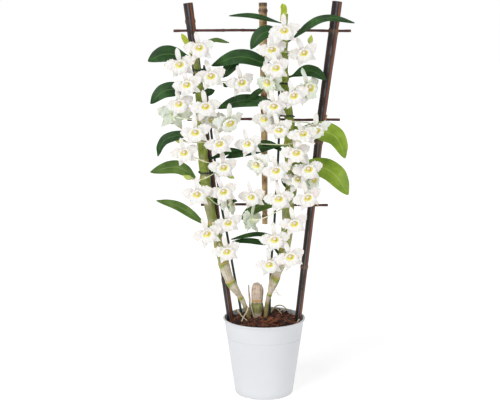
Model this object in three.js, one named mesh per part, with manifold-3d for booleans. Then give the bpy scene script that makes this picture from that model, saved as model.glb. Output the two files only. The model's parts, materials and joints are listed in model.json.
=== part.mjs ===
// A potted star-flowered orchid: two flowering canes tied to wire stakes in front of a
// fan-shaped bamboo trellis, all standing in bark in a tapered white metal pot.
// Millimetres, +Z up, origin at the centre of the pot's flat underside, viewer at -Y.

import * as THREE from 'three';
import { mergeVertices } from 'three/addons/utils/BufferGeometryUtils.js';
import Module from 'manifold-3d';

const wasm = await Module();
wasm.setup();

// ---- Driving dimensions ----------------------------------------------------------------

const GAP = 0.4; // clearance between neighbouring pieces

const POT_HEIGHT = 123;
const POT_BOTTOM_RADIUS = 46.2;
const POT_TOP_RADIUS = 63.8;
const POT_WALL = 1.4;
const POT_FLOOR = 2;
const LIP_RADIUS = 65.4;
const LIP_DROP = 3.2;
const GROOVE_HEIGHT = 93;
const GROOVE_DEPTH = 0.8;

const BARK_EDGE_HEIGHT = 114;
const BARK_MOUND = 7;
const BARK_ROUGHNESS = 1.6;
const LEG_END_HEIGHT = 22; // the posts are pushed down to here

const TRELLIS_DEPTH = 3; // the trellis plane, behind the pot's axis
const ROD_RADIUS = 2.1;
const STAKE_RADIUS = 1.9;

const WIRE_SIDES = 8; // rods and stakes
const THIN_SIDES = 7; // roots, the dried stub and buds
const PEDICEL_SIDES = 4;
const PEDUNCLE_SIDES = 5;
const FRONT = [0, -1, 0.05]; // the way a stem's first side looks

const FLOWER_REACH = 38; // cane to the eye of a flower
const FLOWER_ROLL = 14; // degrees, all flowers lean a little to the viewer's left
const DORSAL_LENGTH = 23;
const PETAL_LENGTH = 22;
const SEPAL_LENGTH = 20;
const SPUR_LENGTH = 15;
const PEDICEL_RADIUS = 1;
const PEDUNCLE_RADIUS = 1.9;
const NOTCH = 9; // the middle to where two petals part
const UP_MARK = 1.12; // the lip's rim reaches a little further on the dorsal side

const LEAF_THICKNESS = 1.1;
const LEAF_FOLD = 0.22; // rise of the edges over the midrib, per millimetre of half width

// ---- Materials -------------------------------------------------------------------------

function material(color, roughness, metalness = 0) {
  return new THREE.MeshStandardMaterial({ color, roughness, metalness });
}

const POT_PAINT = material(0xe2e5ea, 0.4, 0.1);
const BARK = material(0x6b3a22, 0.9);
const DARK_BAMBOO = material(0x33231d, 0.5);
const TAN_BAMBOO = material(0xb08a52, 0.6);
const DARK_TWIG = material(0x46221c, 0.6);
const STAKE_COAT = material(0x1f3a30, 0.5);
const CANE_SKIN = material(0xa9ad72, 0.6);
const DRY_SHEATH = material(0xb7a88a, 0.8);
const ROOT_SKIN = material(0xcbbf94, 0.8);
const DARK_LEAF = material(0x2c5c26, 0.4);
const LIGHT_LEAF = material(0x84a534, 0.45);
const PETAL = material(0xf3f0ee, 0.6);

// ---- Solids ----------------------------------------------------------------------------

// Merges shared corners, drops the flat triangles at a lathe's poles and faces it outwards.
function cleaned(geometry) {
  const bare = new THREE.BufferGeometry();
  bare.setAttribute('position', geometry.attributes.position);
  bare.setIndex(geometry.index);
  const merged = mergeVertices(bare, 1e-4);
  const position = merged.attributes.position;
  const corners = merged.index.array;
  const kept = [];
  const a = new THREE.Vector3();
  const b = new THREE.Vector3();
  const c = new THREE.Vector3();
  let volume = 0;
  for (let i = 0; i < corners.length; i += 3) {
    const [p, q, r] = [corners[i], corners[i + 1], corners[i + 2]];
    if (p === q || q === r || r === p) continue;
    kept.push(p, q, r);
    a.fromBufferAttribute(position, p);
    b.fromBufferAttribute(position, q);
    c.fromBufferAttribute(position, r);
    volume += a.dot(b.cross(c));
  }
  if (volume < 0) kept.reverse();
  merged.setIndex(kept);
  return merged;
}

function solid(geometry) {
  const closed = cleaned(geometry);
  return new wasm.Manifold(new wasm.Mesh({
    numProp: 3,
    vertProperties: new Float32Array(closed.attributes.position.array),
    triVerts: new Uint32Array(closed.index.array),
  }));
}

function geometryOf(body) {
  const mesh = body.getMesh();
  const geometry = new THREE.BufferGeometry();
  geometry.setAttribute('position', new THREE.BufferAttribute(mesh.vertProperties, 3));
  geometry.setIndex(new THREE.BufferAttribute(mesh.triVerts, 1));
  return geometry;
}

function joined(solids) {
  return solids.reduce((whole, next) => whole.add(next));
}

function cutBy(body, tools) {
  return tools.reduce((rest, tool) => rest.subtract(tool), body);
}

// ---- Stems, leaves and rods: a lathe along Y, laid along a curve --------------------------

function smooth(points) {
  return new THREE.CatmullRomCurve3(points.map((p) => new THREE.Vector3(...p)), false, 'centripetal');
}

// stations are [share of the curve's length, radius]; section(x, z, radius) shapes each ring.
function alongCurve(stations, sides, curve, facing, section = (x, z) => [x, z]) {
  const [first, last] = [stations[0][0], stations[stations.length - 1][0]];
  const profile = [
    new THREE.Vector2(0, first),
    ...stations.map(([share, radius]) => new THREE.Vector2(radius, share)),
    new THREE.Vector2(0, last),
  ];
  const geometry = new THREE.LatheGeometry(profile, sides);
  const position = geometry.attributes.position;
  const front = new THREE.Vector3(...facing);
  for (let i = 0; i < position.count; i += 1) {
    const share = position.getY(i);
    const tangent = curve.getTangentAt(share);
    const side = new THREE.Vector3().crossVectors(tangent, front).normalize();
    const outward = new THREE.Vector3().crossVectors(side, tangent).normalize();
    const radius = Math.hypot(position.getX(i), position.getZ(i));
    const [x, z] = section(position.getX(i), position.getZ(i), radius);
    const point = curve.getPointAt(share).addScaledVector(side, x).addScaledVector(outward, z);
    position.setXYZ(i, point.x, point.y, point.z);
  }
  return geometry;
}

function tube(points, radius, sides, steps, taper = 1) {
  const curve = smooth(points);
  const stations = [];
  for (let i = 0; i <= steps; i += 1) {
    const share = i / steps;
    stations.push([share, radius * (1 + (taper - 1) * share)]);
  }
  return alongCurve(stations, sides, curve, [0.1, -1, 0.05]);
}

// ---- Pot and bark ------------------------------------------------------------------------

function potRadius(height) {
  return POT_BOTTOM_RADIUS + ((POT_TOP_RADIUS - POT_BOTTOM_RADIUS) * height) / POT_HEIGHT;
}

function pot() {
  const lipTop = POT_HEIGHT;
  const inner = POT_TOP_RADIUS - POT_WALL;
  const outline = [
    [0, 0],
    [POT_BOTTOM_RADIUS - 1, 0],
    [potRadius(1.5), 1.5],
    [potRadius(GROOVE_HEIGHT - 2), GROOVE_HEIGHT - 2],
    [potRadius(GROOVE_HEIGHT) - GROOVE_DEPTH, GROOVE_HEIGHT],
    [potRadius(GROOVE_HEIGHT + 2), GROOVE_HEIGHT + 2],
    [potRadius(lipTop - LIP_DROP), lipTop - LIP_DROP],
    [LIP_RADIUS - 1.2, lipTop - LIP_DROP + 0.6],
    [LIP_RADIUS, lipTop - LIP_DROP / 2],
    [LIP_RADIUS - 1.4, lipTop - 0.5],
    [inner + 0.8, lipTop],
    [inner, lipTop - 1.6],
    [potRadius(POT_FLOOR) - POT_WALL, POT_FLOOR],
    [0, POT_FLOOR],
  ];
  const geometry = new THREE.LatheGeometry(outline.map((p) => new THREE.Vector2(...p)), 40);
  geometry.rotateX(Math.PI / 2);
  return cleaned(geometry);
}

// The bark's lumpy top: waves of unlike length that never repeat over the pot.
function barkTop(x, y) {
  const radius = Math.hypot(x, y);
  const mound = BARK_MOUND * (1 - (radius / POT_TOP_RADIUS) ** 2);
  const lumps = Math.sin(x * 0.31 + y * 0.17) * Math.cos(y * 0.29 - x * 0.11);
  return BARK_EDGE_HEIGHT + mound + BARK_ROUGHNESS * lumps;
}

function barkBlock() {
  const sideTop = BARK_EDGE_HEIGHT - 4;
  const outerTop = potRadius(sideTop) - POT_WALL - 2 * GAP;
  const outerBottom = potRadius(POT_FLOOR) - POT_WALL - 3 * GAP;
  const rings = [0.98, 0.8, 0.6, 0.4, 0.2];
  const outline = [
    [0, POT_FLOOR + GAP],
    [outerBottom, POT_FLOOR + GAP],
    [outerTop, sideTop],
    ...rings.map((share) => [outerTop * share, BARK_EDGE_HEIGHT]),
    [0, BARK_EDGE_HEIGHT],
  ];
  const geometry = new THREE.LatheGeometry(outline.map((p) => new THREE.Vector2(...p)), 20);
  geometry.rotateX(Math.PI / 2);
  const position = geometry.attributes.position;
  for (let i = 0; i < position.count; i += 1) {
    if (position.getZ(i) < BARK_EDGE_HEIGHT - 1) continue;
    position.setZ(i, barkTop(position.getX(i), position.getY(i)));
  }
  return solid(geometry);
}

// ---- Bamboo trellis ------------------------------------------------------------------------

const LEFT_POST = {
  route: [[-41.4, 5.6, LEG_END_HEIGHT], [-53.8, 5, 118], [-84, 4, 345], [-112, 3, 572], [-117, 3, 614]],
  foot: 4.6,
  top: 7.4,
  knots: [0.27, 0.62, 0.955],
};
const RIGHT_POST = {
  route: [
    [41.4, 1, LEG_END_HEIGHT], [53.8, 1.5, 118], [68, 2.4, 233],
    [87, 3, 438], [105, 3, 573], [112, 3, 616],
  ],
  foot: 4.6,
  top: 7.2,
  knots: [0.308, 0.64, 0.925],
};
const MIDDLE_POST = {
  route: [[1, 3, 273], [0, 3, 405], [-3, 3, 615]],
  foot: 4,
  top: 6.4,
  knots: [0.035, 0.55, 0.965],
};
const CULM_SIDES = 10;
const CULM_HOLLOW_DEPTH = 12;

// A straight bamboo culm that thickens towards its top, with a raised ring at each knot.
function culm({ route, foot, top, knots }, grow = 0) {
  const stations = [[0, foot + grow], [0.08, foot + 0.08 * (top - foot) + grow]];
  for (const knot of knots) {
    const radius = foot + (top - foot) * knot + grow;
    stations.push([knot - 0.008, radius * 0.99], [knot, radius * 1.13], [knot + 0.008, radius * 1.0]);
  }
  stations.push([1, top + grow]);
  return solid(alongCurve(stations, CULM_SIDES, smooth(route), FRONT));
}

function culmHollow({ route, top }) {
  const curve = smooth(route);
  const start = 1 - CULM_HOLLOW_DEPTH / curve.getLength();
  const end = curve.getPointAt(1);
  const beyond = end.clone().addScaledVector(curve.getTangentAt(1), 2);
  const inside = new THREE.LineCurve3(curve.getPointAt(start), beyond);
  return solid(alongCurve([[0, top * 0.45], [1, top * 0.55]], CULM_SIDES, inside, FRONT));
}

const ROD_STEPS = 8;
const RODS = {
  rod_top: [[-140, 573], [-60, 574], [40, 573.5], [132, 573]],
  rod_middle: [[-120, 437], [-40, 438], [50, 437], [117, 437]],
  rod_bottom: [[-100, 303], [-30, 304], [40, 303], [100, 303]],
};

function rod(route, grow = 0) {
  const points = route.map(([x, z]) => [x, TRELLIS_DEPTH, z]);
  return tube(points, ROD_RADIUS + grow, WIRE_SIDES, ROD_STEPS);
}

// ---- Canes ---------------------------------------------------------------------------------

// Each joint is [x, y, z, radius], from the buried base to the growing tip.
const LEFT_CANE = [
  [-21, -7, 114, 3.4], [-30, -6, 141, 3.4], [-38, -6, 157, 4.4], [-54, -9, 184, 7.4],
  [-64, -12, 214, 8.4], [-71, -14, 245, 8.2], [-80, -16, 279, 8], [-88, -17, 320, 7.8],
  [-92, -17, 350, 7.6], [-94, -17, 376, 7.6], [-96, -17, 405, 7.4], [-98, -17, 435, 7.2],
  [-99, -17, 463, 7], [-101, -17, 499, 6.4], [-106, -17, 533, 4.6], [-112, -16, 548, 2.2],
];
const RIGHT_CANE = [
  [1, -6, 112, 4], [5, -6, 148, 3.2], [9, -7, 163, 4], [18, -8, 190, 7.4],
  [32, -12, 234, 8.6], [36, -15, 273, 8.8], [37, -16, 304, 9], [41, -17, 330, 8.8],
  [40, -17, 364, 8.6], [38, -17, 402, 8.2], [38, -17, 436, 7.8], [32, -17, 474, 7.4],
  [30, -17, 507, 6.8], [30, -17, 541, 6], [31, -17, 562, 4.8], [33, -15, 598, 2.2],
];
const CANE_SIDES = 8;

// A jointed cane: a raised ring at each joint, drawn in just above it, then swelling again.
function cane(joints, grow = 0) {
  const curve = smooth(joints.map(([x, y, z]) => [x, y, z]));
  const lengths = curve.getLengths(400);
  const whole = lengths[lengths.length - 1];
  const shareOf = (index) => lengths[Math.round((index / (joints.length - 1)) * 400)] / whole;
  const stations = [[0, joints[0][3] + grow]];
  for (let i = 1; i < joints.length; i += 1) {
    const [low, high] = [shareOf(i - 1), shareOf(i)];
    const radius = joints[i][3];
    const below = joints[i - 1][3];
    const neck = i > 1 ? 0.93 : 1;
    stations.push([low + 0.2 * (high - low), Math.min(below, radius) * neck + grow]);
    stations.push([low + 0.7 * (high - low), 0.25 * below + 0.75 * radius + grow]);
    stations.push([high, radius * 1.05 + grow]);
  }
  return alongCurve(stations, CANE_SIDES, curve, FRONT);
}

// The point that lies at a joint number, which may fall between two joints.
function onCane(joints, index) {
  const low = Math.min(Math.floor(index), joints.length - 2);
  const share = index - low;
  const [a, b] = [joints[low], joints[low + 1]];
  const mixed = a.map((value, i) => value + (b[i] - value) * share);
  return { centre: new THREE.Vector3(mixed[0], mixed[1], mixed[2]), radius: mixed[3] };
}

const STUMP_ROUTE = [[-11, 0, 112], [-11, 0.5, 140], [-11, 1, 176]];
const STUMP_STATIONS = [
  [0, 5.5], [0.25, 7.5], [0.42, 9.6], [0.5, 9.2], [0.56, 8.9], [0.75, 9.4], [0.9, 8.6], [1, 6],
];
const STUMP_SIDES = 10;
const STUB_RADIUS = 2.4;
const STUB_TAPER = 0.4;
const STUB_STEPS = 4;
const STUB_ROUTE = [[-21, 5, 112], [-23, 5, 148], [-25, 4, 174]];

function stump(grow = 0) {
  const stations = STUMP_STATIONS.map(([share, radius]) => [share, radius + grow]);
  return alongCurve(stations, STUMP_SIDES, smooth(STUMP_ROUTE), FRONT);
}

function stub(grow = 0) {
  return tube(STUB_ROUTE, STUB_RADIUS + grow, THIN_SIDES, STUB_STEPS, STUB_TAPER);
}

const ROOT_RADIUS = 1.1;
const ROOT_STEPS = 6;
const ROOTS = {
  root_left: [[-46, -2, 133], [-43, -6, 136], [-35, -13, 127], [-27, -17, 121], [-24, -20, 116]],
  root_middle: [[-25, -12, 142], [-27, -15, 136], [-33, -19, 126], [-37, -21, 116]],
};

function root(route, grow = 0) {
  return tube(route, ROOT_RADIUS + grow, THIN_SIDES, ROOT_STEPS);
}

// ---- Stakes and ties ---------------------------------------------------------------------------

const STAKE_STEPS = 14;
const STAKES = {
  stake_left: [
    [-33, 4, 60], [-37, 4, 130], [-43, 4, 165], [-49, 0, 200], [-59, -4, 260],
    [-66, -6, 296], [-73, -7, 343], [-82, -7, 415], [-90, -7, 490], [-93, -7, 521],
  ],
  stake_right: [
    [9, 4, 60], [9, 4, 135], [10, 3, 189], [16, -4, 280],
    [19, -6, 341], [22, -7, 398], [22, -7, 500],
  ],
};

function stake(route, grow = 0) {
  return tube(route, STAKE_RADIUS + grow, WIRE_SIDES, STAKE_STEPS);
}

// [height, cane's centre, cane's radius, stake's centre]
const TIES = {
  tie_left_high: [514, [-102.5, -17], 6.2, [-92.4, -7]],
  tie_left_low: [357, [-92.6, -17], 7.4, [-74.7, -7]],
  tie_right_high: [493, [31, -17], 7.2, [22, -7]],
  tie_right_low: [444, [37, -17], 7.6, [22, -7]],
};
const TIE_WIRE = 0.9;

// A wire loop round a cane and its stake, like a belt round a big wheel and a small one.
function tie([height, caneCentre, caneRadius, stakeCentre]) {
  const span = [stakeCentre[0] - caneCentre[0], stakeCentre[1] - caneCentre[1]];
  const distance = Math.hypot(...span);
  const leaving = (caneRadius - STAKE_RADIUS) / distance;
  const geometry = new THREE.TorusGeometry(1, 0.1, 5, 20);
  const position = geometry.attributes.position;
  for (let i = 0; i < position.count; i += 1) {
    const [x, y, z] = [position.getX(i), position.getY(i), position.getZ(i)];
    const ring = Math.hypot(x, y);
    const [along, across] = [x / ring, y / ring];
    const onStake = along > leaving;
    const wheel = (onStake ? STAKE_RADIUS : caneRadius) + TIE_WIRE + GAP;
    const reach = wheel + (ring - 1) * 10 * TIE_WIRE;
    position.setXYZ(i, along * reach + (onStake ? distance : 0), across * reach, z * 10 * TIE_WIRE);
  }
  geometry.rotateZ(Math.atan2(span[1], span[0]));
  geometry.translate(caneCentre[0], caneCentre[1], height);
  return cleaned(geometry);
}

// ---- Leaves --------------------------------------------------------------------------------------

// [cane, joint number, bend, tip, width, material, face]; face is the way the blade looks.
const LEAVES = {
  leaf_left_1: [LEFT_CANE, 14, [-152, -24, 537], [-176, -32, 527], 26, DARK_LEAF, [0, -1, 0.4]],
  leaf_left_2: [LEFT_CANE, 12.6, [-152, -26, 482], [-173, -32, 463], 24, DARK_LEAF, [-0.2, -1, 0.3]],
  leaf_left_3: [LEFT_CANE, 10.5, [-154, -26, 406], [-163, -32, 383], 16, DARK_LEAF, [-0.2, -1, 0.3]],
  leaf_left_4: [LEFT_CANE, 7.7, [-133, -16, 364], [-175, -34, 359], 21, DARK_LEAF, [0, -1, 0.4]],
  leaf_left_5: [LEFT_CANE, 5.8, [-134, -20, 304], [-167, -26, 314], 15, DARK_LEAF, [0, -1, 0.6]],
  leaf_left_6: [LEFT_CANE, 14.2, [-80, -10, 557], [-54, -12, 555], 12, DARK_LEAF, [0, -0.6, 1]],
  leaf_left_tip: [LEFT_CANE, 15, [-120, -16, 558], [-126, -17, 568], 8, LIGHT_LEAF, [0, -1, 0.2]],
  leaf_middle_1: [RIGHT_CANE, 12.2, [-36, -9, 533], [-81, -16, 520], 25, DARK_LEAF, [0, -1, 0.6]],
  leaf_middle_2: [RIGHT_CANE, 14.6, [-16, -15, 593], [-54, -18, 595], 14, DARK_LEAF, [0, -0.6, 1]],
  leaf_middle_3: [RIGHT_CANE, 14.3, [-3, -26, 568], [-21, -32, 545], 22, DARK_LEAF, [-0.4, -1, 0.3]],
  leaf_middle_4: [RIGHT_CANE, 10.7, [-36, -7, 466], [-73, -14, 455], 21, DARK_LEAF, [0, -1, 0.5]],
  leaf_middle_5: [RIGHT_CANE, 8.9, [-13, -7, 392], [-60, -14, 379], 20, DARK_LEAF, [0, -0.9, 0.8]],
  leaf_middle_6: [RIGHT_CANE, 6.1, [-9, -7, 302], [-38, -14, 282], 18, DARK_LEAF, [0, -1, 0.5]],
  leaf_middle_7: [RIGHT_CANE, 4.5, [-10, -8, 258], [-52, -14, 251], 9, DARK_LEAF, [0, -0.8, 1]],
  leaf_right_1: [RIGHT_CANE, 13.8, [88, -16, 590], [135, -26, 584], 17, DARK_LEAF, [0, -0.8, 1]],
  leaf_right_2: [RIGHT_CANE, 11.9, [70, -12, 512], [94, -20, 499], 20, DARK_LEAF, [0, -1, 0.6]],
  leaf_right_3: [RIGHT_CANE, 9.7, [107, -12, 413], [124, -20, 379], 32, LIGHT_LEAF, [0.3, -1, 0.3]],
  leaf_right_tip: [RIGHT_CANE, 15, [29, -16, 605], [26, -17, 613], 9, LIGHT_LEAF, [0, -1, 0.2]],
  leaf_right_4: [RIGHT_CANE, 8.2, [104, -7, 356], [129, -25, 323], 35, LIGHT_LEAF, [0.1, -1, 0.5]],
};

// Half the blade's width along its length, as a share of the widest: a clasping foot, then a lance.
const LEAF_OUTLINE = [
  [0, 0.16], [0.07, 0.2], [0.18, 0.5], [0.32, 0.84], [0.48, 1], [0.64, 0.96], [0.8, 0.72], [0.92, 0.38],
  [1, 0.06],
];

function leaf([joints, index, bend, tip, width, , face]) {
  const { centre, radius } = onCane(joints, index);
  const away = new THREE.Vector3(...bend).sub(centre).setZ(0).normalize();
  const foot = centre.clone().addScaledVector(away, radius * 1.05 + LEAF_THICKNESS + 2 * GAP);
  foot.z += index >= joints.length - 1 ? 3 : 0;
  const curve = smooth([foot.toArray(), bend, tip]);
  const stations = LEAF_OUTLINE.map(([share, part]) => [share, (part * width) / 2]);
  const section = (x, z, half) => {
    const middle = half > 0 ? z / half : 0;
    return [x, (middle * LEAF_THICKNESS) / 2 + LEAF_FOLD * Math.abs(x)];
  };
  return cleaned(alongCurve(stations, 4, curve, face, section));
}

// ---- Flowers ---------------------------------------------------------------------------------------

// In a flower's own frame X is to its right, Y up its dorsal sepal and Z the way it faces,
// with the eye at the origin. Five tips and the five notches between them, from the top round:
const STAR = [
  [0, DORSAL_LENGTH], [38, NOTCH], [78, PETAL_LENGTH], [110, NOTCH], [144, SEPAL_LENGTH],
  [180, NOTCH], [216, SEPAL_LENGTH], [250, NOTCH], [282, PETAL_LENGTH], [322, NOTCH],
];
// Rings from the spur to the middle: [height, radius]; a radius of 1 is the star's outline.
const HEAD_RINGS = [[-SPUR_LENGTH, 1.5], [-8, 3.2], [-5.5, 1], [-3.6, 1], [0, 8]];
const EYE_PEAK = 2.6;

// A lathe of ten sides whose widest rings reach out to the star; the lip's rim has one long
// spoke on the dorsal side.
function flowerHead() {
  const profile = [[0, -SPUR_LENGTH], ...HEAD_RINGS.map(([z, r]) => [r, z]), [0, EYE_PEAK]];
  const geometry = new THREE.LatheGeometry(profile.map((p) => new THREE.Vector2(...p)), STAR.length);
  const position = geometry.attributes.position;
  for (let i = 0; i < position.count; i += 1) {
    const [x, height, z] = [position.getX(i), position.getY(i), position.getZ(i)];
    const radius = Math.hypot(x, z);
    const spoke = Math.round((Math.atan2(x, z) / (2 * Math.PI)) * STAR.length + STAR.length);
    const [angle, reach] = STAR[spoke % STAR.length];
    const turn = (angle * Math.PI) / 180;
    const isStar = Math.abs(radius - 1) < 1e-6;
    const isMark = height === 0 && angle === 0;
    const wide = isStar ? reach : radius * (isMark ? UP_MARK : 1);
    position.setXYZ(i, wide * Math.sin(turn), wide * Math.cos(turn), height);
  }
  return solid(geometry);
}

const BUD_BACK = 10;

function budHead() {
  const profile = [[0, -BUD_BACK], [1.2, -BUD_BACK], [4, -1], [0, 9]];
  const geometry = new THREE.LatheGeometry(profile.map((p) => new THREE.Vector2(...p)), THIN_SIDES);
  geometry.rotateX(Math.PI / 2);
  return solid(geometry);
}

const HEADS = { flower: [flowerHead(), SPUR_LENGTH], bud: [budHead(), BUD_BACK - 0.5] };

// [joint number, flowers]; a flower is [right, up, turn, tilt, forward, kind] from its joint:
// turn is degrees to the viewer's right, tilt upwards, forward towards the viewer.
const LEFT_SPRAYS = [
  [5, [[14, -7]]],
  [6, [[25, 3], [-7, -13]]],
  [7, [[-14, 7], [26, 10], [37, -11, 100, 10, 0]]],
  [8, [[-26, 0, -60, 20, 10, 'bud'], [39, 2, 60, -30, 3, 'bud']]],
  [9, [[-28, 13], [32, -10]]],
  [10, [[-8, 16], [28, -2], [-35, 1, -70, 10, 4, 'bud']]],
  [11, [[18, 4, 30, -10, 10], [46, -1, 40, -30, 20], [-43, 12, -170, 10, -6]]],
  [12, [[-30, 0], [11, -3]]],
  [13, [[21, 6], [-15, -7], [67, -4]]],
  [14, [[9, 14], [-21, -11]]],
];
const RIGHT_SPRAYS = [
  [4, [[8, -4], [-24, -19]]],
  [5, [[10, 9], [-20, -17]]],
  [6, [[-57, 16], [29, 18, 9, 0, 34], [-62, -19, -140, 0, 4]]],
  [7, [[11, 19, 18, 22, 20], [35, 17, 70, 10, 6], [-19, -10]]],
  [8, [[-22, -1], [27, 1, 8, 0, 29], [-52, 6, -40, -20]]],
  [9, [[20, 18, 10, 30, 40], [10, -11, 3, 3, 38], [-64, 0]]],
  [10, [[-38, 4, -30, 0, 10], [-16, -11, -10, -25, 37], [40, -13, 20, -30, 22]]],
  [11, [[12, 2], [37, 13, 60, 10], [-18, -14]]],
  [12, [[-13, 10, -4, -4, 40], [-26, -12, -60, -20, 16]]],
  [13, [[-19, 3, -6, 6, 28], [29, -2], [39, 18, 10, 40, 6, 'bud']]],
  [14, [[-2, 10]]],
];

function seat(centre, [right, up, turn, tilt, forward, kind = 'flower'], order) {
  const ahead = forward ?? Math.sqrt(Math.max(FLOWER_REACH ** 2 - right ** 2 - up ** 2, 14 ** 2));
  const yaw = ((turn ?? right * 0.3) * Math.PI) / 180;
  const pitch = ((tilt ?? ((order * 7) % 5) * 3 - 6) * Math.PI) / 180;
  const facing = new THREE.Vector3(
    Math.sin(yaw) * Math.cos(pitch), -Math.cos(yaw) * Math.cos(pitch), Math.sin(pitch),
  );
  const roll = ((FLOWER_ROLL + ((order * 11) % 7) * 2 - 6) * Math.PI) / 180;
  const across = new THREE.Vector3().crossVectors(new THREE.Vector3(0, 0, 1), facing).normalize();
  const up0 = new THREE.Vector3().crossVectors(facing, across);
  const dorsal = up0.multiplyScalar(Math.cos(roll)).addScaledVector(across, -Math.sin(roll));
  const eye = centre.clone().add(new THREE.Vector3(right, -ahead, up));
  const size = 0.96 + ((order * 5) % 9) * 0.01;
  return { eye, facing, dorsal, size, kind };
}

function placed(head, { eye, facing, dorsal, size }) {
  const across = new THREE.Vector3().crossVectors(dorsal, facing).normalize();
  const matrix = new THREE.Matrix4().makeBasis(across, dorsal, facing);
  matrix.scale(new THREE.Vector3(size, size, size)).setPosition(eye);
  return head.transform(Array.from(matrix.elements));
}

// One spray: a short peduncle at the joint and a pedicel to the back of each flower.
function spray(joints, [index, flowers]) {
  const { centre, radius } = onCane(joints, index);
  const seats = flowers.map((flower, i) => seat(centre, flower, index * 3 + i));
  const middle = new THREE.Vector3();
  for (const { eye } of seats) middle.add(eye);
  middle.divideScalar(seats.length);
  middle.sub(centre);
  const away = new THREE.Vector3(middle.x * 0.4, middle.y - 10, 0).normalize();
  const root = centre.clone().addScaledVector(away, radius * 1.05 + GAP + 0.3);
  const fork = root.clone().addScaledVector(away, 5);
  const peduncle = alongCurve([[0, PEDUNCLE_RADIUS], [1, PEDUNCLE_RADIUS * 0.8]], PEDUNCLE_SIDES,
    new THREE.LineCurve3(root, fork), [0.1, 0.1, 1]);
  const parts = [solid(peduncle)];
  for (const place of seats) {
    const [head, back] = HEADS[place.kind];
    const end = place.eye.clone().addScaledVector(place.facing, -(back - 1) * place.size);
    const bow = fork.distanceTo(end) * 0.4;
    const curve = new THREE.CubicBezierCurve3(
      fork.clone().addScaledVector(away, -1.5),
      fork.clone().addScaledVector(away, bow),
      end.clone().addScaledVector(place.facing, -bow),
      end,
    );
    const stations = [0, 0.33, 0.67, 1].map((share) => [share, PEDICEL_RADIUS]);
    parts.push(solid(alongCurve(stations, PEDICEL_SIDES, curve, [0.12, 0.1, 1])));
    parts.push(placed(head, place));
  }
  return geometryOf(joined(parts));
}

// ---- The whole plant --------------------------------------------------------------------------------

const group = new THREE.Group();

function add(name, geometry, finish) {
  const mesh = new THREE.Mesh(geometry, finish);
  mesh.name = name;
  group.add(mesh);
}

// A hole that clears a buried piece at its sides and under its foot.
function socket(body, [x, y, z], radius) {
  const foot = new THREE.LineCurve3(new THREE.Vector3(x, y, z - 2), new THREE.Vector3(x, y, z + 2));
  const stations = [[0, radius + 2 * GAP], [1, radius + 2 * GAP]];
  return body.add(solid(alongCurve(stations, WIRE_SIDES, foot, FRONT)));
}

const buried = [
  socket(culm(LEFT_POST, GAP), LEFT_POST.route[0], LEFT_POST.foot),
  socket(culm(RIGHT_POST, GAP), RIGHT_POST.route[0], RIGHT_POST.foot),
  socket(solid(cane(LEFT_CANE, GAP)), LEFT_CANE[0], LEFT_CANE[0][3]),
  socket(solid(cane(RIGHT_CANE, GAP)), RIGHT_CANE[0], RIGHT_CANE[0][3]),
  socket(solid(stump(GAP)), STUMP_ROUTE[0], STUMP_STATIONS[0][1]),
  socket(solid(stub(GAP)), STUB_ROUTE[0], STUB_RADIUS),
];
for (const route of Object.values(STAKES)) {
  buried.push(socket(solid(stake(route, GAP)), route[0], STAKE_RADIUS));
}
for (const route of Object.values(ROOTS)) {
  buried.push(socket(solid(root(route, GAP)), route[route.length - 1], ROOT_RADIUS));
}

add('pot', pot(), POT_PAINT);
add('bark_bed', geometryOf(cutBy(barkBlock(), buried)), BARK);

const drilled = Object.values(RODS).map((route) => solid(rod(route, GAP)));
add('post_left', geometryOf(cutBy(culm(LEFT_POST), [...drilled, culmHollow(LEFT_POST)])), DARK_BAMBOO);
add('post_right', geometryOf(cutBy(culm(RIGHT_POST), [...drilled, culmHollow(RIGHT_POST)])), DARK_BAMBOO);
add('post_middle', geometryOf(cutBy(culm(MIDDLE_POST), [...drilled, culmHollow(MIDDLE_POST)])), TAN_BAMBOO);
for (const [name, route] of Object.entries(RODS)) add(name, cleaned(rod(route)), DARK_TWIG);

add('cane_left', cleaned(cane(LEFT_CANE)), CANE_SKIN);
add('cane_right', cleaned(cane(RIGHT_CANE)), CANE_SKIN);
add('old_cane_stump', cleaned(stump()), DRY_SHEATH);
add('dried_stub', cleaned(stub()), DRY_SHEATH);
for (const [name, route] of Object.entries(ROOTS)) {
  add(name, cleaned(root(route)), ROOT_SKIN);
}

for (const [name, route] of Object.entries(STAKES)) {
  add(name, cleaned(stake(route)), STAKE_COAT);
}
for (const [name, values] of Object.entries(TIES)) add(name, tie(values), STAKE_COAT);
for (const [name, values] of Object.entries(LEAVES)) add(name, leaf(values), values[5]);
LEFT_SPRAYS.forEach((values, i) => add(`spray_left_${i + 1}`, spray(LEFT_CANE, values), PETAL));
RIGHT_SPRAYS.forEach((values, i) => add(`spray_right_${i + 1}`, spray(RIGHT_CANE, values), PETAL));

export default group;
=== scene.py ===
# A potted star-flowered orchid on a bamboo trellis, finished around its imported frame.
# Hand-made sizes are millimetres, and MM turns them to metres. +Z is up, -Y is the front.

import json
import math
import random

import bmesh
import bpy
from mathutils import Matrix, Vector, noise


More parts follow.
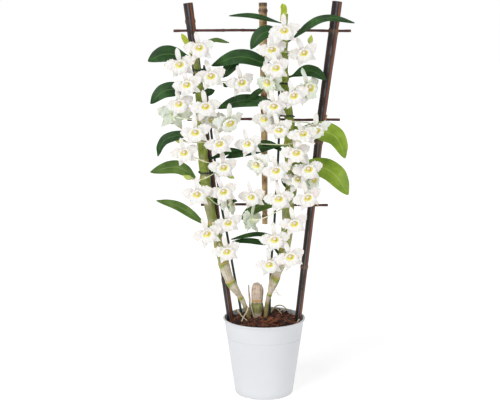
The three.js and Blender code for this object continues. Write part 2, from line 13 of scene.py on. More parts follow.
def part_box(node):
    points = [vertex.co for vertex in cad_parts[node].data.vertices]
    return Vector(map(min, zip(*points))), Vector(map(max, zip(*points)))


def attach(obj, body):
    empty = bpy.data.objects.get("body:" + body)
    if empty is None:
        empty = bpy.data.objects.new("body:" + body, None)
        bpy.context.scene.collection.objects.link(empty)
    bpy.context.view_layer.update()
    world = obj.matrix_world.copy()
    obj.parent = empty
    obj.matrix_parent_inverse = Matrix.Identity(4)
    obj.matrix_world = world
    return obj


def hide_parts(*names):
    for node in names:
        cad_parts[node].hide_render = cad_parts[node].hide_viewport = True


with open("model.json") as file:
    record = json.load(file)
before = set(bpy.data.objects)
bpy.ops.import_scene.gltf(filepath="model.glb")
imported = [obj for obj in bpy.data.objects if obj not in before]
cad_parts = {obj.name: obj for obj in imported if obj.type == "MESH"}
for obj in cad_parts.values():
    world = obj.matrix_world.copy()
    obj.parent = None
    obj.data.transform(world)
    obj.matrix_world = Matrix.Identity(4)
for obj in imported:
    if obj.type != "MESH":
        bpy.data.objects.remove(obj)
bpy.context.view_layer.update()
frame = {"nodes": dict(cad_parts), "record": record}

MM = 0.001
FULL_TURN = 2 * math.pi
SEW = 0.02  # corners closer than this are one corner
FINE_SEW = 0.01  # the same on lips and leaves
FRONT = Vector((0.1, -1, 0.05))  # about the way the plant faces, and a stem's seam lies beside it
UP = Vector((0, 0, 1))

POT_LIP_SHARE = 0.9755  # the wall's radius at the top, as a share of the lip's
POT_FOOT_SHARE = 0.7064
LIP_DROP = 3.2
GROOVE_SHARE = 0.756  # the groove's height, as a share of the pot's
POT_WALL = 1.4
POT_FLOOR = 2
POT_SIDES = 128

# How high each knot sits, as shares of its post's height.
KNOTS = {
    "post_left": (0.27, 0.62, 0.955),
    "post_right": (0.308, 0.64, 0.925),
    "post_middle": (0.035, 0.55, 0.965),
}
KNOT_SHOWS = {"post_left": 0.25, "post_right": 1, "post_middle": 1}  # how pale its knots are
CULM_SIDES = 32
CULM_ROWS = 150
CULM_HOLLOW = 12
ROD_SIDES = 14
ROD_ROWS = 110

CANE_SIDES = 28
CANE_ROWS = 16  # rows in each length between two joints
RINGS_PER_JOINT = 3  # the frame's canes have three rings to each joint
THIN_STEM_SIDES = 12
FINE_ROOT_SIDES = 7
STUMP_SIDES = 40
STUMP_ROWS = 54
STUMP_FOOT = 112
STUMP_TALL = 64
STUMP_RIGHT = -11  # how far right of the middle it stands

# Corners in each ring of a stem or blade in the frame.
STEM_RING = 8  # rods, canes and stakes
STUMP_RING = 10
ROOT_RING = 7  # roots and the dried stub
BLADE_RING = 4

# A flower in the frame is a star with a raised middle, and a bud is a pointed spindle.
STAR_SPOKES = 10
SPOKE_RANGE = (6, 10)  # the least and most that a flower's spoke can measure
RIM_RADIUS = 8
EYE_PEAK = 2.6
BUD_SPOKES = 7
BUD_SLOPE = 10.77  # the length of a bud's spoke

LEAF_COLUMNS = 14
LEAF_ROWS = 44
LEAF_THICKNESS = 0.7
LEAF_FOLD = 0.2
BLUNT_TIP = 0.94  # where a blade starts to round off
LEAF_FOOT = 4  # how far a blade runs on below its first ring
YOUNG_LEAF_FOOT = 14


# ---- Choosing and finishing pieces ----------------------------------------------------------


def choose(*pieces):
    bpy.ops.object.select_all(action="DESELECT")
    for piece in pieces:
        piece.select_set(True)
    if pieces:
        bpy.context.view_layer.objects.active = pieces[0]


def sew(piece, distance=SEW):
    """Joins doubled corners, closes poles and seams, and faces the skin outwards."""
    choose(piece)
    bpy.ops.object.mode_set(mode="EDIT")
    bpy.ops.mesh.select_all(action="SELECT")
    bpy.ops.mesh.remove_doubles(threshold=distance * MM)
    bpy.ops.mesh.normals_make_consistent(inside=False)
    bpy.ops.object.mode_set(mode="OBJECT")


def finish_with(piece, kind, **settings):
    """Adds a modifier and applies it."""
    choose(piece)
    modifier = piece.modifiers.new(kind.title(), kind)
    for name, value in settings.items():
        setattr(modifier, name, value)
    bpy.ops.object.modifier_apply(modifier=modifier.name)


def smooth(piece, degrees):
    choose(piece)
    bpy.ops.object.shade_smooth_by_angle(angle=math.radians(degrees))


def join(name, pieces):
    choose(*pieces)
    if len(pieces) > 1:
        bpy.ops.object.join()
    pieces[0].name = name
    return pieces[0]


def copy_of(piece, matrix, name):
    """A copy with its own mesh, its place in the mesh."""
    twin = piece.copy()
    twin.data = piece.data.copy()
    twin.name = name
    twin.data.transform(matrix)
    bpy.context.collection.objects.link(twin)
    return twin


def discard(pieces):
    for piece in pieces:
        bpy.data.objects.remove(piece)


def note_points(piece, name, values):
    """Writes one number to each point for a material to read."""
    layer = piece.data.attributes.new(name, "FLOAT", "POINT")
    layer.data.foreach_set("value", values)


def note_places(piece, places):
    """Writes one place to each point for a material to lay its pattern by."""
    layer = piece.data.attributes.new("chip_place", "FLOAT_VECTOR", "POINT")
    layer.data.foreach_set("vector", [value for place in places for value in place])


def coat(piece, finish):
    piece.data.materials.append(finish)


def hand_over(piece, slot, *nodes):
    """The finished piece rides with the plant and stands for its nodes."""
    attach(piece, "root")
    if nodes:
        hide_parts(*nodes)


def complete(piece, degrees, finish, slot, *nodes):
    """Smooths and coats a piece and hands it over. Edges sharper than the degrees stay sharp."""
    smooth(piece, degrees)
    coat(piece, finish)
    hand_over(piece, slot, *nodes)


# ---- Reading the frame ----------------------------------------------------------------------


def sewn_copy(node):
    """A node's shape in millimetres with its loose triangles sewn together."""
    body = bmesh.new()
    body.from_mesh(frame["nodes"][node].data)
    bmesh.ops.scale(body, vec=(1 / MM,) * 3, verts=body.verts)
    bmesh.ops.remove_doubles(body, verts=body.verts, dist=SEW)
    return body


def rings_of(node, sides, near=Vector()):
    """The rings of a stem or blade in the frame, from its end that is nearest to a point."""
    body = sewn_copy(node)
    poles = [point for point in body.verts if len(point.link_edges) == sides]
    start = min(poles, key=lambda point: (point.co - near).length)
    layers = [[start]]
    seen = {start}
    while layers[-1]:
        ring = []
        for point in layers[-1]:
            for edge in point.link_edges:
                other = edge.other_vert(point)
                if other not in seen:
                    seen.add(other)
                    ring.append(other)
        layers.append(ring)
    rings = [[point.co.copy() for point in layer] for layer in layers[1:-2]]
    body.free()
    return rings


def middle_of(points):
    return sum(points, Vector()) / len(points)


def spine_of(rings):
    """Each ring's centre and radius."""
    centres = [middle_of(ring) for ring in rings]
    radii = [max((p - c).length for p in ring) for ring, c in zip(rings, centres)]
    return centres, radii


def girth(node, height):
    """Centre and radius of a nearly upright node where a level plane cuts it."""
    body = sewn_copy(node)
    cuts = []
    for edge in body.edges:
        low, high = sorted((point.co for point in edge.verts), key=lambda co: co.z)
        if low.z <= height < high.z:
            cuts.append(low.lerp(high, (height - low.z) / (high.z - low.z)))
    body.free()
    spans = [[cut[axis] for cut in cuts] for axis in range(2)]
    centre = Vector([(min(span) + max(span)) / 2 for span in spans] + [height])
    return centre, max((cut - centre).length for cut in cuts)


def nearest_on(spine, point):
    """The point of a stem's middle line that is nearest, and its place along the list."""
    best = None
    for i in range(len(spine) - 1):
        line = spine[i + 1] - spine[i]
        share = min(max((point - spine[i]).dot(line) / line.length_squared, 0), 1)
        foot = spine[i] + line * share
        distance = (point - foot).length
        if best is None or distance < best[0]:
            best = (distance, foot, i + share)
    return best[1], best[2]


def between(values, place):
    """A smooth value (Catmull-Rom) at a place from 0 to the last of the values."""
    i = min(max(int(place), 0), len(values) - 2)
    t = place - i
    last = len(values) - 1
    a, b, c, d = values[max(i - 1, 0)], values[i], values[i + 1], values[min(i + 2, last)]
    curve = t * t * (2 * a - 5 * b + 4 * c - d) + t**3 * (3 * b - a - 3 * c + d)
    return 0.5 * (2 * b + t * (c - a) + curve)


def evenly(values, steps):
    return [between(values, (len(values) - 1) * i / steps) for i in range(steps + 1)]


def bezier(a, b, c, d, steps):
    route = []
    for i in range(steps + 1):
        t = i / steps
        s = 1 - t
        route.append(a * s**3 + b * (3 * s * s * t) + c * (3 * s * t * t) + d * t**3)
    return route


# ---- Sheets and stems -----------------------------------------------------------------------


def sheet(name, columns, rows, place):
    """A grid whose every point goes where place(across, along) says, both from 0 to 1."""
    choose()
    bpy.ops.mesh.primitive_grid_add(x_subdivisions=columns, y_subdivisions=rows, size=2)
    piece = bpy.context.object
    piece.name = name
    for point in piece.data.vertices:
        point.co = place((point.co.x + 1) / 2, (point.co.y + 1) / 2) * MM
    return piece


def heading(spine, i):
    """The way a spine runs at one of its points."""
    return spine[min(i + 1, len(spine) - 1)] - spine[max(i - 1, 0)]


def square_to(spine, axis=None):
    """For each point of a spine, two directions square to it and to each other."""
    frames = []
    for i in range(len(spine)):
        ahead = axis or heading(spine, i)
        side = ahead.cross(FRONT).normalized()
        frames.append((side, side.cross(ahead).normalized()))
    return frames


def stem(name, spine, radii, sides, axis=None, lumps=None):
    """A sheet rolled round a spine and closed at both ends. lumps(angle, row) swells it."""
    frames = square_to(spine, axis)
    rows = len(spine) + 1
    last = len(spine) - 1

    def place(across, along):
        row = round(along * rows) - 1
        inside = 0 <= row <= last
        row = min(max(row, 0), last)
        angle = across * FULL_TURN
        radius = radii[row] if inside else 0
        if lumps and inside:
            radius *= lumps(angle, row)
        side, out = frames[row]
        return spine[row] + (side * math.cos(angle) + out * math.sin(angle)) * radius

    piece = sheet(name, sides, rows, place)
    sew(piece)
    return piece


def turned(name, outline, sides):
    """A round piece drawn up ring by ring from a disc. outline holds (radius, height)."""
    choose()
    radius, height = outline[0]
    bpy.ops.mesh.primitive_circle_add(
        vertices=sides, radius=radius * MM, fill_type="NGON", location=(0, 0, height * MM)
    )
    piece = bpy.context.object
    piece.name = name
    bpy.ops.object.transform_apply()
    bpy.ops.object.mode_set(mode="EDIT")
    bpy.ops.mesh.select_all(action="SELECT")
    for next_radius, next_height in outline[1:]:
        rise = (next_height - height) * MM
        bpy.ops.mesh.extrude_region_move(TRANSFORM_OT_translate={"value": (0, 0, rise)})
        scale = next_radius / radius
        centre = (0, 0, next_height * MM)
        bpy.ops.transform.resize(value=(scale, scale, 1), center_override=centre)
        radius, height = next_radius, next_height
    bpy.ops.mesh.select_all(action="SELECT")
    bpy.ops.mesh.normals_make_consistent(inside=False)
    bpy.ops.object.mode_set(mode="OBJECT")
    return piece


# ---- Materials: sockets as values, nodes by one call ----------------------------------------


def paint(red, green, blue):
    """A colour as the eye names it, 0 to 255, turned to linear light."""
    linear = []
    for part in (red, green, blue):
        share = part / 255
        linear.append(share / 12.92 if share <= 0.04045 else ((share + 0.055) / 1.055) ** 2.4)
    return (*linear, 1)


class Wire:
    """A socket's value, which Python's own signs work on."""

    def __init__(self, recipe, socket):
        self.recipe = recipe
        self.socket = socket

    def maths(self, operation, *values):
        return self.recipe.node("Math", {"operation": operation}, dict(enumerate(values)))

    def __add__(self, other):
        return self.maths("ADD", self, other)

    def __radd__(self, other):
        return self.maths("ADD", other, self)

    def __sub__(self, other):
        return self.maths("SUBTRACT", self, other)

    def __rsub__(self, other):
        return self.maths("SUBTRACT", other, self)

    def __mul__(self, other):
        return self.maths("MULTIPLY", self, other)

    def __rmul__(self, other):
        return self.maths("MULTIPLY", other, self)

    def clear(self, low, high):
        """0 up to low, 1 from high on, and smooth between."""
        sockets = {0: self, 1: low, 2: high, 3: 0, 4: 1}
        return self.recipe.node("MapRange", {"interpolation_type": "SMOOTHSTEP"}, sockets)

    def size(self):
        return self.maths("ABSOLUTE", self)

    def wave(self):
        return self.maths("SINE", self)


class Finish:
    """A node material under one name."""

    def __init__(self, name):
        self.material = bpy.data.materials.new(name)
        self.material.use_nodes = True
        self.tree = self.material.node_tree
        self.shader = self.tree.nodes["Principled BSDF"]

    def feed(self, socket, value):
        if isinstance(value, Wire):
            self.tree.links.new(value.socket, socket)
        else:
            socket.default_value = value

    def node(self, kind, settings=None, sockets=None, output=0):
        made = self.tree.nodes.new("ShaderNode" + kind)
        for name, value in (settings or {}).items():
            if name == "stops":
                for i, (place, colour) in enumerate(value):
                    stop = made.color_ramp.elements[i] if i < 2 else made.color_ramp.elements.new(place)
                    stop.position = place
                    stop.color = colour
            else:
                setattr(made, name, value)
        for name, value in (sockets or {}).items():
            self.feed(made.inputs[name], value)
        return Wire(self, made.outputs[output])

    def place(self):
        return self.node("TexCoord", output="Object")

    def note(self, name):
        return self.node("Attribute", {"attribute_name": name}, output="Fac")

    def note_vector(self, name):
        return self.node("Attribute", {"attribute_name": name}, output="Vector")

    def across_along(self):
        """The piece's own map: the share across or around it, and the share along it."""
        split = self.node("SeparateXYZ", {}, {0: self.node("UVMap", {"uv_map": "UVMap"})})
        return split, Wire(self, split.socket.node.outputs[1])

    def vector(self, x, y, z=0):
        return self.node("CombineXYZ", {}, {0: x, 1: y, 2: z})

    def grain(self, size, vector=None, detail=3, roughness=0.55, distortion=0):
        """Noise with features of that size in millimetres, or in the vector's own units."""
        sockets = {
            "Vector": vector or self.place(),
            "Scale": 1 / size if vector else 1 / (size * MM),
            "Detail": detail,
            "Roughness": roughness,
            "Distortion": distortion,
        }
        return self.node("TexNoise", {}, sockets)

    def spots(self, size):
        """Distance to scattered points that are about that many millimetres apart."""
        return self.node("TexVoronoi", {}, {"Vector": self.place(), "Scale": 1 / (size * MM)})

    def mix(self, share, first, second):
        return self.node("Mix", {"data_type": "RGBA"}, {0: share, 6: first, 7: second}, output=2)

    def ramp(self, value, *stops):
        return self.node("ValToRGB", {"stops": stops}, {0: value})

    def done(self, colour, roughness, height=None, depth=0.3, strength=1, **fixed):
        """Plugs in the colour, the roughness and the relief, and sets what is the same all over."""
        self.feed(self.shader.inputs["Base Color"], colour)
        self.feed(self.shader.inputs["Roughness"], roughness)
        if height is not None:
            sockets = {"Height": height, "Distance": depth * MM, "Strength": strength}
            self.feed(self.shader.inputs["Normal"], self.node("Bump", {}, sockets))
        for name, value in fixed.items():
            self.shader.inputs[name.replace("_", " ")].default_value = value
        return self.material


def pot_paint():
    it = Finish("white_pot_paint")
    cloud = it.grain(60, detail=2)
    peel = it.grain(1.6, detail=2)
    height = it.node("SeparateXYZ", {}, {0: it.place()}, output=2)
    brushed = it.grain(1, it.vector(0, 0, height * 900), detail=3)
    scuffs = it.grain(9, detail=5, roughness=0.7).clear(0.66, 0.75)
    # painted shade: the paint turns grey in a band round the foot, where the pot meets the floor
    painted_foot_shade = 1 - height.clear(0.0, 0.012)
    colour = it.mix(cloud, paint(211, 213, 217), paint(221, 223, 226))
    colour = it.mix(scuffs * 0.25, colour, paint(196, 198, 202))
    colour = it.mix(painted_foot_shade * 0.35, colour, paint(188, 188, 188))
    rough = 0.42 + 0.12 * it.grain(14) + scuffs * 0.15
    return it.done(colour, rough, peel * 0.5 + brushed * 0.5, depth=0.12, strength=0.5)


def bark_chip():
    it = Finish("red_brown_bark")
    chip = it.note("chip")
    local = it.note_vector("chip_place")
    stretched = it.node("VectorMath", {"operation": "MULTIPLY"}, {0: local, 1: (1, 5, 5)})
    fibre = it.grain(2.2, stretched, detail=5, roughness=0.65, distortion=0.6)
    patches = it.grain(5, local, detail=3)
    colour = it.ramp(
        chip,
        (0.0, paint(26, 13, 10)), (0.28, paint(66, 30, 19)), (0.52, paint(112, 56, 31)),
        (0.78, paint(160, 94, 56)), (1.0, paint(40, 22, 16)),
    )
    colour = it.mix(fibre.clear(0.42, 0.6) * 0.75, colour, paint(38, 20, 16))
    colour = it.mix(patches.clear(0.58, 0.7) * 0.5, colour, paint(176, 124, 88))
    rough = 0.72 + 0.2 * fibre
    return it.done(colour, rough, fibre + patches * 0.6, depth=0.9)


def dark_bamboo():
    it = Finish("dark_stained_bamboo")
    around, along = it.across_along()
    streak = it.grain(1, it.vector(around * 60, along * 9), detail=4, roughness=0.6)
    fine = it.grain(1, it.vector(around * 190, along * 30), detail=2)
    patch = it.grain(38, detail=3, roughness=0.6)
    knot = it.note("knot")
    colour = it.ramp(
        streak * 0.65 + patch * 0.35,
        (0.36, paint(13, 8, 7)), (0.49, paint(30, 18, 15)),
        (0.58, paint(58, 33, 23)), (0.7, paint(98, 60, 38)),
    )
    # painted sheen: a blue-grey strip down the culm's left front
    painted_grey_sheen = 1 - (around - 0.27).size().clear(0.005, 0.04)
    colour = it.mix(painted_grey_sheen * patch.clear(0.36, 0.56) * 0.6, colour, paint(112, 114, 126))
    # painted light: a red-brown lit strip down the culm's right front
    painted_lit_red_side = 1 - (around - 0.15).size().clear(0.035, 0.075)
    colour = it.mix(painted_lit_red_side * streak.clear(0.3, 0.56) * 0.85, colour, paint(134, 74, 36))
    colour = it.mix(knot * 0.7, colour, paint(132, 104, 80))
    colour = it.mix(it.note("cut"), colour, paint(150, 118, 84))
    rough = 0.26 + 0.3 * streak + knot * 0.2
    return it.done(colour, rough, streak * 0.7 + fine * 0.3, depth=0.4)


def tan_bamboo():
    it = Finish("mottled_tan_bamboo")
    around, along = it.across_along()
    streak = it.grain(1, it.vector(around * 50, along * 9), detail=4, roughness=0.6)
    mottle = it.grain(14, detail=4, roughness=0.65)
    freckle = it.spots(4.5).clear(0.1, 0.28)
    knot = it.note("knot")
    colour = it.ramp(
        mottle,
        (0.34, paint(98, 64, 38)), (0.44, paint(176, 136, 90)),
        (0.56, paint(212, 182, 134)), (0.75, paint(230, 208, 166)),
    )
    colour = it.mix(streak.clear(0.52, 0.7) * 0.5, colour, paint(120, 82, 50))
    colour = it.mix((1 - freckle) * 0.5, colour, paint(92, 60, 38))
    charred = along.clear(0.9, 0.965) * (0.6 + streak.clear(0.3, 0.6) * 0.4)
    colour = it.mix(charred, colour, paint(42, 27, 22))
    colour = it.mix(knot * 0.8, colour, paint(74, 46, 30))
    colour = it.mix(it.note("cut"), colour, paint(176, 142, 100))
    rough = 0.42 + 0.25 * streak
    return it.done(colour, rough, streak, depth=0.3)


def dark_twig():
    it = Finish("dark_red_twig")
    around, along = it.across_along()
    streak = it.grain(1, it.vector(around * 16, along * 26), detail=4, roughness=0.65)
    colour = it.ramp(
        streak,
        (0.3, paint(34, 18, 17)), (0.47, paint(70, 32, 28)),
        (0.6, paint(106, 54, 44)), (0.75, paint(146, 96, 78)),
    )
    ends = 1 - (0.5 - (along - 0.5).size()).clear(0.012, 0.03)
    colour = it.mix(ends * 0.7, colour, paint(96, 84, 82))
    return it.done(colour, 0.45 + 0.3 * streak, streak, depth=0.3)


def green_wire():
    it = Finish("green_coated_wire")
    cloud = it.grain(7, detail=4)
    fine = it.grain(1.2, detail=2)
    colour = it.mix(cloud, paint(22, 42, 34), paint(40, 66, 52))
    scratched = fine.clear(0.66, 0.74) * 0.4
    colour = it.mix(scratched, colour, paint(88, 108, 96))
    return it.done(colour, 0.38 + 0.25 * cloud, fine, depth=0.12)


def cane_skin():
    it = Finish("sheathed_green_cane")
    around, _ = it.across_along()
    joint = it.note("joint")
    sheath = it.note("sheath")
    ring = it.note("ring")
    grooves = it.grain(1, it.vector(around * 46, joint * 1.3), detail=3, roughness=0.5)
    blotch = it.grain(9, detail=4, roughness=0.6)
    netting = it.spots(2.2)
    freckle = it.grain(2.4, detail=2).clear(0.6, 0.68)
    green = it.ramp(
        grooves * 0.5 + blotch * 0.5,
        (0.32, paint(84, 108, 28)), (0.5, paint(134, 152, 48)), (0.68, paint(178, 186, 84)),
    )
    papery = it.ramp(
        grooves * 0.6 + blotch * 0.4,
        (0.3, paint(140, 120, 88)), (0.47, paint(196, 184, 158)), (0.64, paint(226, 220, 202)),
    )
    papery = it.mix(freckle * 0.45, papery, paint(142, 120, 84))
    papery = it.mix((1 - netting.clear(0.1, 0.4)) * 0.25, papery, paint(160, 152, 104))
    colour = it.mix(sheath, green, papery)
    colour = it.mix(ring * 0.75, colour, paint(206, 166, 92))
    base = 1 - joint.clear(0.6, 1.7)
    colour = it.mix(base * 0.75, colour, it.mix(blotch, paint(96, 72, 40), paint(172, 146, 100)))
    rough = 0.45 + sheath * 0.25 + 0.1 * grooves
    return it.done(colour, rough, grooves * 0.8 + blotch * 0.2, depth=0.5)


def dry_sheath(name, greenness):
    it = Finish(name)
    around, along = it.across_along()
    fibre = it.grain(1, it.vector(around * 40, along * 5), detail=5, roughness=0.65)
    blotch = it.grain(5, detail=4)
    colour = it.ramp(
        fibre * 0.6 + blotch * 0.4,
        (0.34, paint(124, 92, 70)), (0.46, paint(200, 176, 154)), (0.62, paint(232, 216, 202)),
    )
    green_part = (1 - along.clear(0.5, 0.56)) * along.clear(0.12, 0.2)
    green = it.mix(fibre.clear(0.35, 0.65), paint(74, 92, 30), paint(150, 156, 76))
    colour = it.mix(green_part * greenness, colour, green)
    band = 1 - (along - 0.57).size().clear(0.008, 0.022)
    colour = it.mix(band * greenness, colour, paint(206, 150, 62))
    return it.done(colour, 0.75 + 0.15 * fibre, fibre + blotch * 0.5, depth=0.8)


def pale_root():
    it = Finish("pale_corky_root")
    cork = it.grain(1.4, detail=4, roughness=0.65)
    patch = it.grain(8, detail=2)
    colour = it.mix(patch.clear(0.4, 0.65), paint(212, 204, 180), paint(170, 160, 112))
    colour = it.mix(cork.clear(0.55, 0.7) * 0.5, colour, paint(126, 100, 68))
    return it.done(colour, 0.78 + 0.12 * cork, cork, depth=0.3)


def leaf_skin(name, dark, middle, pale, rib):
    it = Finish(name)
    across, along = it.across_along()
    from_rib = (across - 0.5).size() * 2
    veins = (across * 150 + it.grain(1, it.vector(across * 4, along * 3)) * 3).wave() * 0.5 + 0.5
    blotch = it.grain(22, detail=3)
    fine = it.grain(2.5, detail=3)
    colour = it.ramp(blotch, (0.33, dark), (0.52, middle), (0.72, pale))
    colour = it.mix(veins * 0.12, colour, pale)
    midrib = 1 - from_rib.clear(0.02, 0.09)
    colour = it.mix(midrib * 0.6, colour, rib)
    colour = it.mix(from_rib.clear(0.93, 1.0) * 0.35, colour, pale)
    colour = it.mix((1 - along.clear(0.02, 0.14)) * 0.55, colour, rib)
    rough = 0.3 + 0.14 * fine + 0.1 * blotch
    height = veins * 0.35 + midrib * -0.6 + fine * 0.15
    return it.done(colour, rough, height, depth=0.35, Specular_IOR_Level=0.4)


THIN_FLESH = {"Subsurface_Weight": 0.15, "Subsurface_Scale": 0.003}


def petal_skin():
    it = Finish("warm_white_petal")
    across, along = it.across_along()
    tint = it.note("tint")
    veins = it.grain(1, it.vector(across * 34, along * 3.2), detail=3, roughness=0.5)
    cloud = it.grain(6, detail=2)
    sparkle = it.grain(0.7, detail=2)
    white = it.mix(cloud.clear(0.35, 0.65), paint(246, 240, 238), paint(238, 231, 224))
    green_white = it.mix(cloud.clear(0.35, 0.65), paint(243, 247, 238), paint(228, 236, 216))
    colour = it.mix(tint, white, green_white)
    colour = it.mix(veins.clear(0.5, 0.72) * 0.16, colour, paint(214, 208, 204))
    foot = 1 - along.clear(0.05, 0.34)
    colour = it.mix(foot * 0.4, colour, paint(216, 226, 176))
    rough = 0.55 + 0.15 * sparkle
    height = veins * 0.7 + sparkle * 0.3
    return it.done(colour, rough, height, depth=0.22, **THIN_FLESH)


def lip_skin():
    it = Finish("yellow_throated_lip")
    around, outwards = it.across_along()
    tint = it.note("tint")
    veins = it.grain(1, it.vector(around * 40, outwards * 2.5), detail=3)
    edge = it.grain(1, it.vector(around * 14, outwards * 3), detail=2)
    white = it.mix(tint, paint(246, 240, 236), paint(238, 242, 224))
    colour = it.mix(veins.clear(0.5, 0.7) * 0.2, white, paint(214, 208, 200))
    high = (around * FULL_TURN).wave() * 0.5 + 0.5
    # painted shade: the eye's yellow turns olive towards the flower's right side
    right = (around * FULL_TURN + math.pi / 2).wave() * 0.5 + 0.5
    yellow = it.mix(right.clear(0.35, 0.95), paint(250, 243, 146), paint(228, 216, 104))
    reach = outwards + edge * 0.14 - 0.05
    eye = (1 - reach.clear(0.44, 0.58)) * (1 - high.clear(0.6, 1.0) * 0.75)
    colour = it.mix(eye, colour, yellow)
    colour = it.mix((1 - reach.clear(0.1, 0.3)) * 0.4, colour, paint(206, 196, 90))
    return it.done(colour, 0.5 + 0.15 * veins, veins, depth=0.25, **THIN_FLESH)


def column_skin():
    it = Finish("pale_flower_column")
    cloud = it.grain(2.5, detail=2)
    _, along = it.across_along()
    colour = it.mix(along.clear(0.45, 0.7), paint(214, 222, 150), paint(242, 222, 226))
    colour = it.mix(cloud.clear(0.4, 0.7) * 0.3, colour, paint(228, 206, 150))
    return it.done(colour, 0.4 + 0.1 * cloud, cloud, depth=0.1)


def pedicel_skin():
    it = Finish("pale_green_flower_stalk")
    around, along = it.across_along()
    streak = it.grain(1, it.vector(around * 10, along * 4), detail=3)
    colour = it.mix(streak, paint(204, 216, 158), paint(226, 232, 196))
    colour = it.mix(along.clear(0.4, 1.0) * 0.9, colour, paint(240, 240, 230))
    return it.done(colour, 0.5 + 0.15 * streak, streak, depth=0.15)


def bud_skin():
    it = Finish("yellow_green_bud")
    around, along = it.across_along()
    veins = it.grain(1, it.vector(around * 22, along * 3), detail=3)
    colour = it.mix(along.clear(0.2, 0.9), paint(226, 230, 160), paint(176, 196, 62))
    colour = it.mix(veins.clear(0.45, 0.7) * 0.3, colour, paint(130, 158, 44))
    return it.done(colour, 0.45 + 0.15 * veins, veins, depth=0.2)


def studio_floor():
    it = Finish("pale_floor")
    cloud = it.grain(400, detail=1)
    colour = it.mix(cloud, paint(200, 200, 200), paint(203, 203, 203))
    glow = {"Emission_Color": (1, 1, 1, 1), "Emission_Strength": 0.66}
    return it.done(colour, 0.9, **glow)


# ---- Stage, light and camera ----------------------------------------------------------------

CAMERA_PLACE = (0, -1.530, 0.540)
CAMERA_PITCH = 8.5
CAMERA_YAW = 0.843
CAMERA_LENS = 71.0
SENSOR_WIDTH = 36
SKY_LIGHT = 0.4
SKY_SEEN = 1.0

# Each sun's strength, the spread of its light and its turn, in degrees.
SUNS = {"key_light": (1.5, 30, (48, 0, -34)), "fill_light": (0.3, 60, (62, 0, 42))}


def set_stage():
    """A white floor and sky, two soft suns and the camera. The sky is seen brighter than it lights."""
    scene = bpy.context.scene
    bpy.ops.object.camera_add(
        location=CAMERA_PLACE,
        rotation=(math.radians(90 - CAMERA_PITCH), 0, math.radians(CAMERA_YAW)),
    )
    camera = bpy.context.object
    camera.data.lens = CAMERA_LENS
    camera.data.sensor_width = SENSOR_WIDTH
    scene.camera = camera

    bpy.ops.mesh.primitive_plane_add(size=80)
    floor = bpy.context.object
    floor.name = "studio_floor"
    coat(floor, studio_floor())

    world = bpy.data.worlds.new("studio_sky")
    scene.world = world
    world.use_nodes = True
    tree = world.node_tree
    sky = tree.nodes["Background"]
    sky.inputs["Color"].default_value = (1, 1, 1, 1)
    sky.inputs["Strength"].default_value = SKY_LIGHT
    seen = tree.nodes.new("ShaderNodeBackground")
    seen.inputs["Strength"].default_value = SKY_SEEN
    seen.inputs["Color"].default_value = (1, 1, 1, 1)
    path = tree.nodes.new("ShaderNodeLightPath")
    either = tree.nodes.new("ShaderNodeMixShader")
    tree.links.new(path.outputs["Is Camera Ray"], either.inputs[0])
    tree.links.new(sky.outputs[0], either.inputs[1])
    tree.links.new(seen.outputs[0], either.inputs[2])
    tree.links.new(either.outputs[0], tree.nodes["World Output"].inputs["Surface"])

    for name, (strength, spread, turn) in SUNS.items():
        bpy.ops.object.light_add(type="SUN", rotation=[math.radians(a) for a in turn])
        lamp = bpy.context.object
        lamp.name = name
        lamp.data.energy = strength
        lamp.data.angle = math.radians(spread)
    scene.view_settings.view_transform = "Standard"


# ---- Pot and bark ---------------------------------------------------------------------------


def make_pot(finish):
    _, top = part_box("pot")
    lip, tall = top.x / MM, top.z / MM
    foot, rim = lip * POT_FOOT_SHARE, lip * POT_LIP_SHARE

    def wall(height):
        return foot + (rim - foot) * height / tall

    groove = tall * GROOVE_SHARE
    outline = [(foot - 2.2, 0), (foot - 1, 0.15), (foot - 0.2, 0.9), (wall(2.4), 2.4), (wall(9), 9)]
    outline += [(wall(tall * share), tall * share) for share in (0.25, 0.45, 0.62, 0.72)]
    outline += [
        (wall(groove - 2), groove - 2), (wall(groove - 0.9), groove - 0.9),
        (wall(groove) - 0.55, groove), (wall(groove + 0.9), groove + 0.9),
        (wall(groove + 2) + 0.1, groove + 2),
    ]
    outline += [(wall(tall * share), tall * share) for share in (0.82, 0.9)]
    low_lip = tall - LIP_DROP
    outline += [(wall(low_lip - 1), low_lip - 1), (wall(low_lip - 0.2) + 0.25, low_lip - 0.2)]
    bead = LIP_DROP / 2
    for step in range(9):
        angle = math.radians(-75 + step * 28)
        outline.append((lip - bead + bead * math.cos(angle), tall - bead + bead * math.sin(angle)))
    outline += [(rim - POT_WALL, tall - 2.2), (wall(60) - POT_WALL, 60)]
    outline += [(wall(POT_FLOOR) - POT_WALL, POT_FLOOR)]
    piece = turned("cover_pot", outline, POT_SIDES)
    complete(piece, 35, finish, "pot_paint", "pot")


BARK_EDGE = 112
BARK_MOUND = 9
BARK_RADIUS = 60.4
BARK_CHIPS = 430
CHIP_MASTERS = 5
SOIL_TOP = 0.94  # the share of the soil's rows that lie on top of it


def bark_height(x, y):
    radius = math.hypot(x, y)
    mound = BARK_MOUND * (1 - (radius / BARK_RADIUS) ** 2)
    return BARK_EDGE + mound + 2.4 * noise.noise(Vector((x, y, 0)) * 0.06)


def make_chip(name, chance):
    """One broken bark chip: a small block split and knocked out of true."""
    choose()
    bpy.ops.mesh.primitive_cube_add(size=1)
    chip = bpy.context.object
    chip.name = name
    bpy.ops.object.mode_set(mode="EDIT")
    bpy.ops.mesh.select_all(action="SELECT")
    bpy.ops.mesh.subdivide(number_cuts=1)
    bpy.ops.transform.resize(value=(1.0, 0.62, 0.34))
    bpy.ops.object.mode_set(mode="OBJECT")
    for point in chip.data.vertices:
        out = Vector(point.co)
        point.co = out * (1 - 0.35 * (out.length > 0.5)) if chance.random() < 0.3 else out
        point.co += Vector([chance.uniform(-1, 1) * reach for reach in (0.09, 0.08, 0.07)])
    return chip


